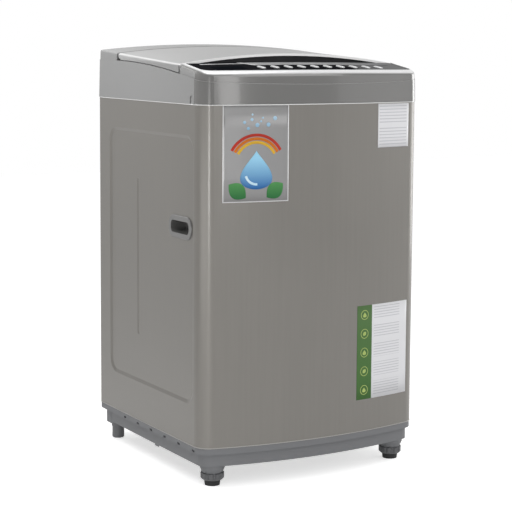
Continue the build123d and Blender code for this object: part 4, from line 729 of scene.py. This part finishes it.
def run_on(bm, ring, reach):
    """Carry a ring straight back to a depth, with a short last step so that its closed end shades cleanly."""
    for depth in (reach - strip_end, reach):
        ring = bmesh.ops.extrude_edge_only(bm, edges=picked(ring, bmesh.types.BMEdge))["geom"]
        verts = picked(ring, bmesh.types.BMVert)
        here = sum(vert.co.y for vert in verts) / len(verts)
        bmesh.ops.translate(bm, vec=(0, depth - here, 0), verts=verts)


def half_strip(radius, segments, out, level, reach):
    """One half of a thin round strip, from the middle of the front round a corner and back to a depth."""
    bm = bmesh.new()
    run_on(bm, around_front(bm, profile_ring(bm, radius, segments), out, level), reach)
    return bm


def close_ends(bm):
    """Close a swept strip's open ends and turn its faces outwards."""
    bmesh.ops.holes_fill(bm, edges=bm.edges, sides=0)
    bmesh.ops.recalc_face_normals(bm, faces=bm.faces)


def both_sides(bm):
    """Mirror half a strip to the other side and close it."""
    bmesh.ops.mirror(bm, geom=bm.verts[:] + bm.edges[:] + bm.faces[:], axis="X", merge_dist=1e-5)
    bmesh.ops.remove_doubles(bm, verts=bm.verts, dist=1e-6)
    close_ends(bm)


# painted highlight: the bead's near-white colour stands in for the light caught by the rolled edge
seam_bead_highlight = mottled("seam_bead_highlight", (0.72, 0.72, 0.715), 0.24, metallic=0.3, grain=800.0, cloud=12.0,
                       colour_spread=0.05, roughness_spread=0.05)
strip_reach = cabinet_high.y - rear_corner
bm = half_strip(bead_radius, strip_sides, bead_out, cabinet_high.z - bead_drop, strip_reach)
both_sides(bm)
seam_bead = link_mesh(bm, "seam_bead", seam_bead_highlight, "machine")
bm = half_strip(hem_radius, strip_sides, hem_out, cabinet_low.z + hem_rise, strip_reach)
both_sides(bm)
# painted highlight: the hem's pale grey stands in for light caught on the cabinet's bottom edge
hem_highlight_paint = mottled("hem_painted_highlight", (0.36, 0.35, 0.335), 0.35, metallic=0.4, grain=900.0, cloud=12.0)
cabinet_hem = link_mesh(bm, "cabinet_hem", hem_highlight_paint, "machine")

# Base and feet: a dark grey polypropylene moulding with a matte grain, plain rear feet of the same plastic,
# and grey screw feet in front, with fluted flanges and black rubber pads.

base_plastic = mottled("grained_grey_plastic", (0.157, 0.16, 0.167), 0.55, grain=1100.0, cloud=9.0,
                       colour_spread=0.08, roughness_spread=0.1, bump=0.22)
dress(base_plastic, "base_frame", "rear_feet")
foot_plastic = mottled("grey_nylon", (0.09, 0.091, 0.096), 0.42, grain=900.0, cloud=30.0,
                       roughness_spread=0.12, bump=0.15)
dress(foot_plastic, "levelling_foot_left", "levelling_foot_right")
pad_rubber = mottled("black_rubber", (0.014, 0.014, 0.015), 0.72, grain=700.0, cloud=40.0,
                     colour_spread=0.18, bump=0.3)
dress(pad_rubber, "foot_pad_left", "foot_pad_right")

# Top moulding and lid: metallic grey ABS, glossier than the cabinet. The lid's grey is painted lighter
# than the top's, as painted light on its upward face, with painted highlights on its front lip and shoulders.
# Its sides are in the top's tone, as painted shade, and painted shade darkens their ends and the lid's back
# edge where they meet the gaps.


def moulding(name, grey):
    """Metallic grey plastic of the top and the lid."""
    return mottled(name, (grey, grey, grey - 0.001), 0.38, metallic=0.25, grain=1500.0, cloud=5.0,
                   colour_spread=0.05, roughness_spread=0.05, bump=0.02, coat=0.12, coat_roughness=0.2,
                   specular=0.35)


def share_outward(made, start, end):
    """Mask that grows from 0 to 1 between two distances from the middle, at the left and at the right."""
    right = share_along(made, "X", start, end)
    return reckon(made.node_tree, "ADD", right, share_along(made, "X", -start, -end))


top_moulding = moulding("metallic_grey_moulding", 0.245)
dress(top_moulding, "top_frame", "lid_hinge_brackets")
# painted light: the lid is a lighter copy of the top's grey, so that its upward face reads lit
lid_moulding = moulding("lid_moulding_painted_light", 0.295)
lid_verts = nodes["lid_panel"].data.vertices
lid_front = min(vert.co.y for vert in lid_verts)
lid_rear = max(vert.co.y for vert in lid_verts)
lid_half = max(vert.co.x for vert in lid_verts)
gap_shade = (0.06, 0.06, 0.061)
lid_shoulder_highlight = share_outward(lid_moulding, lid_half - 0.006, lid_half - 0.003)
lid_side_shade = share_outward(lid_moulding, lid_half - 0.0011, lid_half - 0.0004)
lid_back_shade = share_along(lid_moulding, "Y", lid_rear - 0.006, lid_rear - 0.004)
lid_lip_highlight = share_along(lid_moulding, "Y", lid_front + 0.0035, lid_front + 0.0015)
lid_end_shade = share_along(lid_moulding, "Y", lid_front + 0.0045, lid_front + 0.003)
# painted highlight: a pale band along the lid's rounded side edges
tint(lid_moulding, lid_shoulder_highlight, (0.5, 0.5, 0.498))
# painted shade: a dark band along the lid's back edge, at the gap to the rear deck
tint(lid_moulding, lid_back_shade, gap_shade)
# painted highlight: the lid's front lip is near white
tint(lid_moulding, lid_lip_highlight, (0.86, 0.86, 0.855))
# painted shade: the lid's side faces go back to the top's darker tone
tint(lid_moulding, lid_side_shade, (0.25, 0.25, 0.249))
# painted shade: the front ends of the lid's sides darken where they meet the gap
tint(lid_moulding, reckon(lid_moulding.node_tree, "MULTIPLY", lid_side_shade, lid_end_shade), gap_shade)
dress(lid_moulding, "lid_panel")

# Front apron: the same colour family in a darker, high-gloss facing that mirrors the softbox. A fine ledge
# runs across it, coloured lighter as a painted highlight, and climbs a little towards the rear at both sides.

apron_gloss = mottled("smoked_gloss", (0.15, 0.148, 0.144), 0.18, metallic=0.3, grain=1500.0, cloud=4.0,
                      colour_spread=0.04, roughness_spread=0.03, coat=0.6, coat_roughness=0.04)
dress(apron_gloss, "front_apron")
ledge_level = 0.8398
ledge_radius = 0.0006
ledge_sides = 6
ledge_climb = 0.164
ledge_reach = cabinet_low.y + 0.0635
ledge_cut = ledge_reach - 0.015
bm = half_strip(ledge_radius, ledge_sides, 0.0, ledge_level, ledge_reach)
bmesh.ops.bisect_plane(bm, geom=bm.verts[:] + bm.edges[:] + bm.faces[:], plane_co=(0, ledge_cut, 0),
                       plane_no=(0, 1, 0))
both_sides(bm)
for vert in bm.verts:
    vert.co.z += ledge_climb * (vert.co.y - cabinet_low.y)
# painted highlight: the ledge's lighter grey stands in for light along the apron's step
ledge_highlight_paint = mottled("ledge_highlight", (0.3, 0.3, 0.296), 0.3, metallic=0.4, grain=1500.0, cloud=6.0)
apron_ledge = link_mesh(bm, "apron_ledge", ledge_highlight_paint, "machine")

# Console rim: a trim that runs down both sides of the panel and across the front. Its white upper edge is a
# painted highlight, narrower at the sides, and the rounded face below is in the apron's tone.

console_front = cabinet_low.y
console_depth = 0.134
console_crest = (0.868, 0.8855)
console_sag = (0.008, 0.003)
console_half = 0.27


def console_level(x, back):
    """Height of the console's surface at a distance from the middle and from the front."""
    share = back / console_depth
    crest = console_crest[0] + share * (console_crest[1] - console_crest[0])
    sag = console_sag[0] + share * (console_sag[1] - console_sag[0])
    return crest - sag * (x / console_half) ** 2


def console_dip(tree):
    """How far a point lies under the console's surface, worked out in a node tree."""
    place = tree.nodes.new("ShaderNodeTexCoord")
    parts = tree.nodes.new("ShaderNodeSeparateXYZ")
    tree.links.new(place.outputs["Object"], parts.inputs[0])
    back = reckon(tree, "SUBTRACT", parts.outputs["Y"], console_front)
    share = reckon(tree, "DIVIDE", back, console_depth)
    crest = reckon(tree, "MULTIPLY_ADD", share, console_crest[1] - console_crest[0], console_crest[0])
    sag = reckon(tree, "MULTIPLY_ADD", share, console_sag[1] - console_sag[0], console_sag[0])
    across = reckon(tree, "DIVIDE", parts.outputs["X"], console_half)
    arch = reckon(tree, "MULTIPLY", sag, reckon(tree, "MULTIPLY", across, across))
    return reckon(tree, "SUBTRACT", reckon(tree, "SUBTRACT", crest, arch), parts.outputs["Z"])


rim_highlight_paint = mottled("rim_painted_highlight", (0.86, 0.86, 0.865), 0.2, metallic=0.6, grain=800.0, cloud=12.0,
                      colour_spread=0.03, roughness_spread=0.04, coat=0.3)
dress(rim_highlight_paint, "console_rim")
highlight_end = (0.0038, 0.0082)
side_start = 0.254
side_drop = 0.006
rim_tree = rim_highlight_paint.node_tree
rim_dip = reckon(rim_tree, "MULTIPLY_ADD", share_outward(rim_highlight_paint, side_start, console_half), side_drop,
                 console_dip(rim_tree))
rim_fade = rim_tree.nodes.new("ShaderNodeMapRange")
rim_fade.interpolation_type = "SMOOTHSTEP"
rim_fade.inputs["From Min"].default_value = highlight_end[0]
rim_fade.inputs["From Max"].default_value = highlight_end[1]
rim_tree.links.new(rim_dip, rim_fade.inputs["Value"])
# painted highlight: white above the fade, the apron's tone below it
tint(rim_highlight_paint, rim_fade.outputs["Result"], (0.2, 0.198, 0.193))

# Control panel, the lid's front strip and the display: black acrylic facings. The panel is dull at the left
# and picks up a sheen towards its right end. A silver band, a pinstripe and a slash are printed on it.

sheen_start = 0.1
sheen_full = 1.1
panel_acrylic = mottled("black_acrylic", (0.012, 0.012, 0.014), 0.34, grain=600.0, cloud=15.0,
                        colour_spread=0.2, roughness_spread=0.06, specular=0.0)
panel_tree = panel_acrylic.node_tree
panel_sheen = panel_tree.nodes["Principled BSDF"].inputs["Specular IOR Level"]
panel_tree.links.new(share_along(panel_acrylic, "X", sheen_start, sheen_full), panel_sheen)
dress(panel_acrylic, "control_panel")
grip_gloss = mottled("smoked_grip_strip", (0.034, 0.034, 0.036), 0.4, grain=420.0, cloud=25.0,
                     colour_spread=0.6, roughness_spread=0.08, specular=0.0, stretch=(0.04, 1, 1))
dress(grip_gloss, "lid_grip")
panel_drop = 0.0015
print_lift = 0.00015


def print_on_panel(bm, name, material):
    """Lay a flat drawing, made in distances from the middle and from the front, on the panel's surface."""
    for vert in bm.verts:
        x, back = vert.co.x, vert.co.y
        vert.co = Vector((x, console_front + back, console_level(x, back) - panel_drop + print_lift))
    thicken(bm, Vector((0, 0, 1)), 2 * print_lift)
    piece = link_mesh(bm, name, material, "machine")


band_left, band_right = -0.100, 0.232
band_front, band_rear = 0.092, 0.128
band_slant = 0.024
band_fade = 0.06
bm = bmesh.new()
bmesh.ops.create_grid(bm, x_segments=48, y_segments=4, size=0.5)
for vert in bm.verts:
    across, back = vert.co.x + 0.5, vert.co.y + 0.5
    vert.co.x = band_left + across * (band_right - band_left) - band_slant * back * (1 - across)
    vert.co.y = band_front + back * (band_rear - band_front)
band_silver = mottled("printed_silver_band", (0.33, 0.33, 0.336), 0.45, grain=160.0, cloud=30.0,
                      colour_spread=0.35, specular=0.1)
tint(band_silver, share_along(band_silver, "X", band_fade, band_right), (0.09, 0.09, 0.094))
print_on_panel(bm, "panel_band", band_silver)
stripe_size = (0.104, 0.008, 1)
stripe_middle = (-0.178, 0.115, 0)
bm = bmesh.new()
bmesh.ops.create_grid(bm, x_segments=24, y_segments=1, size=0.5)
bmesh.ops.scale(bm, vec=stripe_size, verts=bm.verts)
bmesh.ops.translate(bm, vec=stripe_middle, verts=bm.verts)
pinstripe_ink = mottled("pinstripe_ink", (0.4, 0.4, 0.406), 0.45, grain=160.0, cloud=30.0,
                        colour_spread=0.3, specular=0.1)
print_on_panel(bm, "panel_pinstripe", pinstripe_ink)
slash_width = 0.011
slash_gap = 0.008
bm = bmesh.new()
bmesh.ops.create_grid(bm, x_segments=1, y_segments=4, size=0.5)
for vert in bm.verts:
    back = vert.co.y + 0.5
    vert.co.x = band_left - slash_gap + slash_width * vert.co.x - band_slant * back
    vert.co.y = band_front + back * (band_rear - band_front)
slash_ink = mottled("slash_ink", (0.66, 0.66, 0.665), 0.4, grain=160.0, cloud=30.0)
print_on_panel(bm, "panel_slash", slash_ink)
display_acrylic = mottled("smoked_window", (0.006, 0.007, 0.009), 0.1, grain=200.0, cloud=10.0,
                          colour_spread=0.3, roughness_spread=0.02, specular=0.0)
dress(display_acrylic, "display_window")
board_resin = mottled("green_circuit_board", (0.02, 0.11, 0.045), 0.45, grain=400.0, cloud=60.0,
                      colour_spread=0.3, roughness_spread=0.1)
dress(board_resin, "control_board")

# Buttons: ten satin silver caps on sprung stems, which stand in a row along the panel between its printed
# band and the bright rim.

button_names = [name for name in nodes if name.startswith("button_")]
button_silver = mottled("satin_silver", (0.72, 0.725, 0.73), 0.28, metallic=0.6, grain=1500.0, cloud=60.0,
                        colour_spread=0.06, roughness_spread=0.06)
dress(button_silver, *button_names)

# Inside of the lid, detergent drawer, tub and valves in white polypropylene, and the hinge pins, rods, shafts
# and bearings in bright steel.

white_plastic = mottled("white_polypropylene", (0.7, 0.71, 0.715), 0.42, grain=900.0, cloud=6.0,
                        colour_spread=0.04, roughness_spread=0.08, bump=0.08)
dress(white_plastic, "lid_liner", "detergent_drawer", "drawer_housing", "outer_tub", "tub_cover",
      "basket_base", "inlet_valve", "drain_valve")
bright_steel = mottled("bright_steel", (0.56, 0.56, 0.565), 0.25, metallic=1.0, grain=500.0, cloud=40.0,
                       colour_spread=0.1, roughness_spread=0.1)
dress(bright_steel, "lid_hinge_pins", "suspension_rods", "suspension_springs", "pulsator_shaft", "spin_tube",
      "shaft_bearings")

# Suspension springs: coils of round wire between the rods' caps and the tub's lugs, in place of the CAD's
# springs, which are hidden.

spring_low, spring_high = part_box("suspension_springs")
coil_radius = 0.011
wire_radius = 0.00125
coil_turns = 9
coil_steps = 18


def wind(bm, verts, centre, axis, climb, turns, steps):
    """Sweep a small circle round an axis, with a climb at every step."""
    bmesh.ops.spin(bm, geom=ring_of(verts), cent=centre, axis=axis, dvec=climb, angle=2 * math.pi * turns,
                   steps=turns * steps)


bm = bmesh.new()
coil_climb = (spring_high.z - spring_low.z - 2 * wire_radius) / (coil_turns * coil_steps)
for side in (-1, 1):
    for end in (spring_low.y + coil_radius, spring_high.y - coil_radius):
        coil_foot = Vector((side * (spring_high.x - coil_radius), end, spring_low.z + wire_radius))
        wire = bmesh.ops.create_circle(bm, segments=8, radius=wire_radius)["verts"]
        bmesh.ops.rotate(bm, cent=(0, 0, 0), matrix=Matrix.Rotation(math.pi / 2, 3, "X"), verts=wire)
        bmesh.ops.translate(bm, vec=coil_foot + Vector((coil_radius - wire_radius, 0, 0)), verts=wire)
        wind(bm, wire, coil_foot, (0, 0, 1), (0, 0, coil_climb), coil_turns, coil_steps)
close_ends(bm)
coil_springs = link_mesh(bm, "coil_springs", bright_steel)
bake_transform(coil_springs)
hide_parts("suspension_springs")

# Water inlet's thread: one ridge of the valve's own plastic, wound along the nozzle at the back for the nut
# of the fill hose.

inlet_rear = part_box("inlet_valve")[1].y
nozzle_x, nozzle_z = -0.150, 0.842
nozzle_lip = 0.0004
thread_radius = 0.01322
thread_sink = 0.0001
ridge_radius = 0.0006
thread_pitch = 0.00181
thread_turns = 7
thread_steps = 24
nozzle = Vector((nozzle_x, inlet_rear - nozzle_lip - ridge_radius, nozzle_z))
bm = bmesh.new()
ridge = bmesh.ops.create_circle(bm, segments=6, radius=ridge_radius)["verts"]
bmesh.ops.translate(bm, vec=nozzle + Vector((thread_radius - thread_sink, 0, 0)), verts=ridge)
wind(bm, ridge, nozzle, (0, 1, 0), (0, -thread_pitch / thread_steps, 0), thread_turns, thread_steps)
close_ends(bm)
inlet_thread = link_mesh(bm, "inlet_thread", white_plastic, "machine")

# Basket, balance ring and pulsator: a drum of thin stainless sheet with shallow flutes and rows of punched
# drain holes, a pale plastic ring on its upper edge, and a blue pulsator on its floor.

basket_steel = mottled("stainless_drum", (0.6, 0.605, 0.61), 0.24, metallic=1.0, grain=700.0, cloud=8.0,
                       colour_spread=0.06, roughness_spread=0.08)
dress(basket_steel, "wash_basket")
drum_low, drum_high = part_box("wash_basket")
drum_height = drum_high.z - drum_low.z
drum_rows, drum_columns, drum_flutes = 30, 112, 14
drum_sheet = 0.001
flute_depth = 0.003
flute_fade = 0.4
hole_inset = 0.0042
bm = bmesh.new()
foot = bm.verts.new((drum_high.x - drum_sheet, 0, drum_low.z))
head = bm.verts.new((drum_high.x - drum_sheet, 0, drum_high.z))
line = bm.edges.new((foot, head))
bmesh.ops.subdivide_edges(bm, edges=[line], cuts=drum_rows - 1)
bmesh.ops.spin(bm, geom=bm.verts[:] + bm.edges[:], cent=(0, 0, 0), axis=(0, 0, 1), angle=2 * math.pi,
               steps=drum_columns, use_merge=True)
bmesh.ops.remove_doubles(bm, verts=bm.verts, dist=1e-6)
bmesh.ops.recalc_face_normals(bm, faces=bm.faces)
row_height = drum_height / drum_rows
column_turn = 2 * math.pi / drum_columns
punched = []
for face in bm.faces:
    middle = face.calc_center_median()
    row = int((middle.z - drum_low.z) / row_height)
    column = int((math.atan2(middle.y, middle.x) % (2 * math.pi)) / column_turn)
    if 0 < row < drum_rows - 1 and row % 2 == 1 and column % 4 == (row // 2 % 2) * 2:
        punched.append(face)
bmesh.ops.inset_individual(bm, faces=punched, thickness=hole_inset)
bmesh.ops.delete(bm, geom=punched, context="FACES")
for vert in bm.verts:
    turn = math.atan2(vert.co.y, vert.co.x)
    fade = math.sin(math.pi * (vert.co.z - drum_low.z) / drum_height) ** flute_fade
    inward = flute_depth * fade * (0.5 - 0.5 * math.cos(drum_flutes * turn))
    vert.co.x -= inward * math.cos(turn)
    vert.co.y -= inward * math.sin(turn)
bmesh.ops.solidify(bm, geom=bm.faces[:], thickness=drum_sheet)
fluted_drum = link_mesh(bm, "fluted_drum", basket_steel, "basket")
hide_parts("wash_basket")
ring_plastic = mottled("pale_grey_plastic", (0.55, 0.57, 0.59), 0.36, grain=900.0, cloud=8.0,
                       colour_spread=0.05, roughness_spread=0.08, bump=0.06)
dress(ring_plastic, "balance_ring", "pulsator_cap")
pulsator_plastic = mottled("slate_blue_plastic", (0.2, 0.3, 0.4), 0.3, grain=900.0, cloud=8.0,
                           colour_spread=0.06, roughness_spread=0.08, bump=0.05)
dress(pulsator_plastic, "pulsator")

# Drive under the tub: the gear case and both pulleys in cast aluminium, a black motor, and the belt and the
# shaft's seal in rubber.

cast_aluminium = mottled("cast_aluminium", (0.5, 0.505, 0.51), 0.46, metallic=0.9, grain=450.0, cloud=25.0,
                         colour_spread=0.16, roughness_spread=0.15, bump=0.3)
dress(cast_aluminium, "gear_case", "drive_pulley", "motor_pulley")
motor_paint = mottled("black_motor_paint", (0.03, 0.031, 0.033), 0.4, grain=500.0, cloud=30.0,
                      roughness_spread=0.12, bump=0.1)
dress(motor_paint, "motor")
belt_rubber = mottled("belt_rubber", (0.022, 0.022, 0.023), 0.66, grain=800.0, cloud=60.0,
                      colour_spread=0.2, bump=0.2)
dress(belt_rubber, "drive_belt", "shaft_seal")
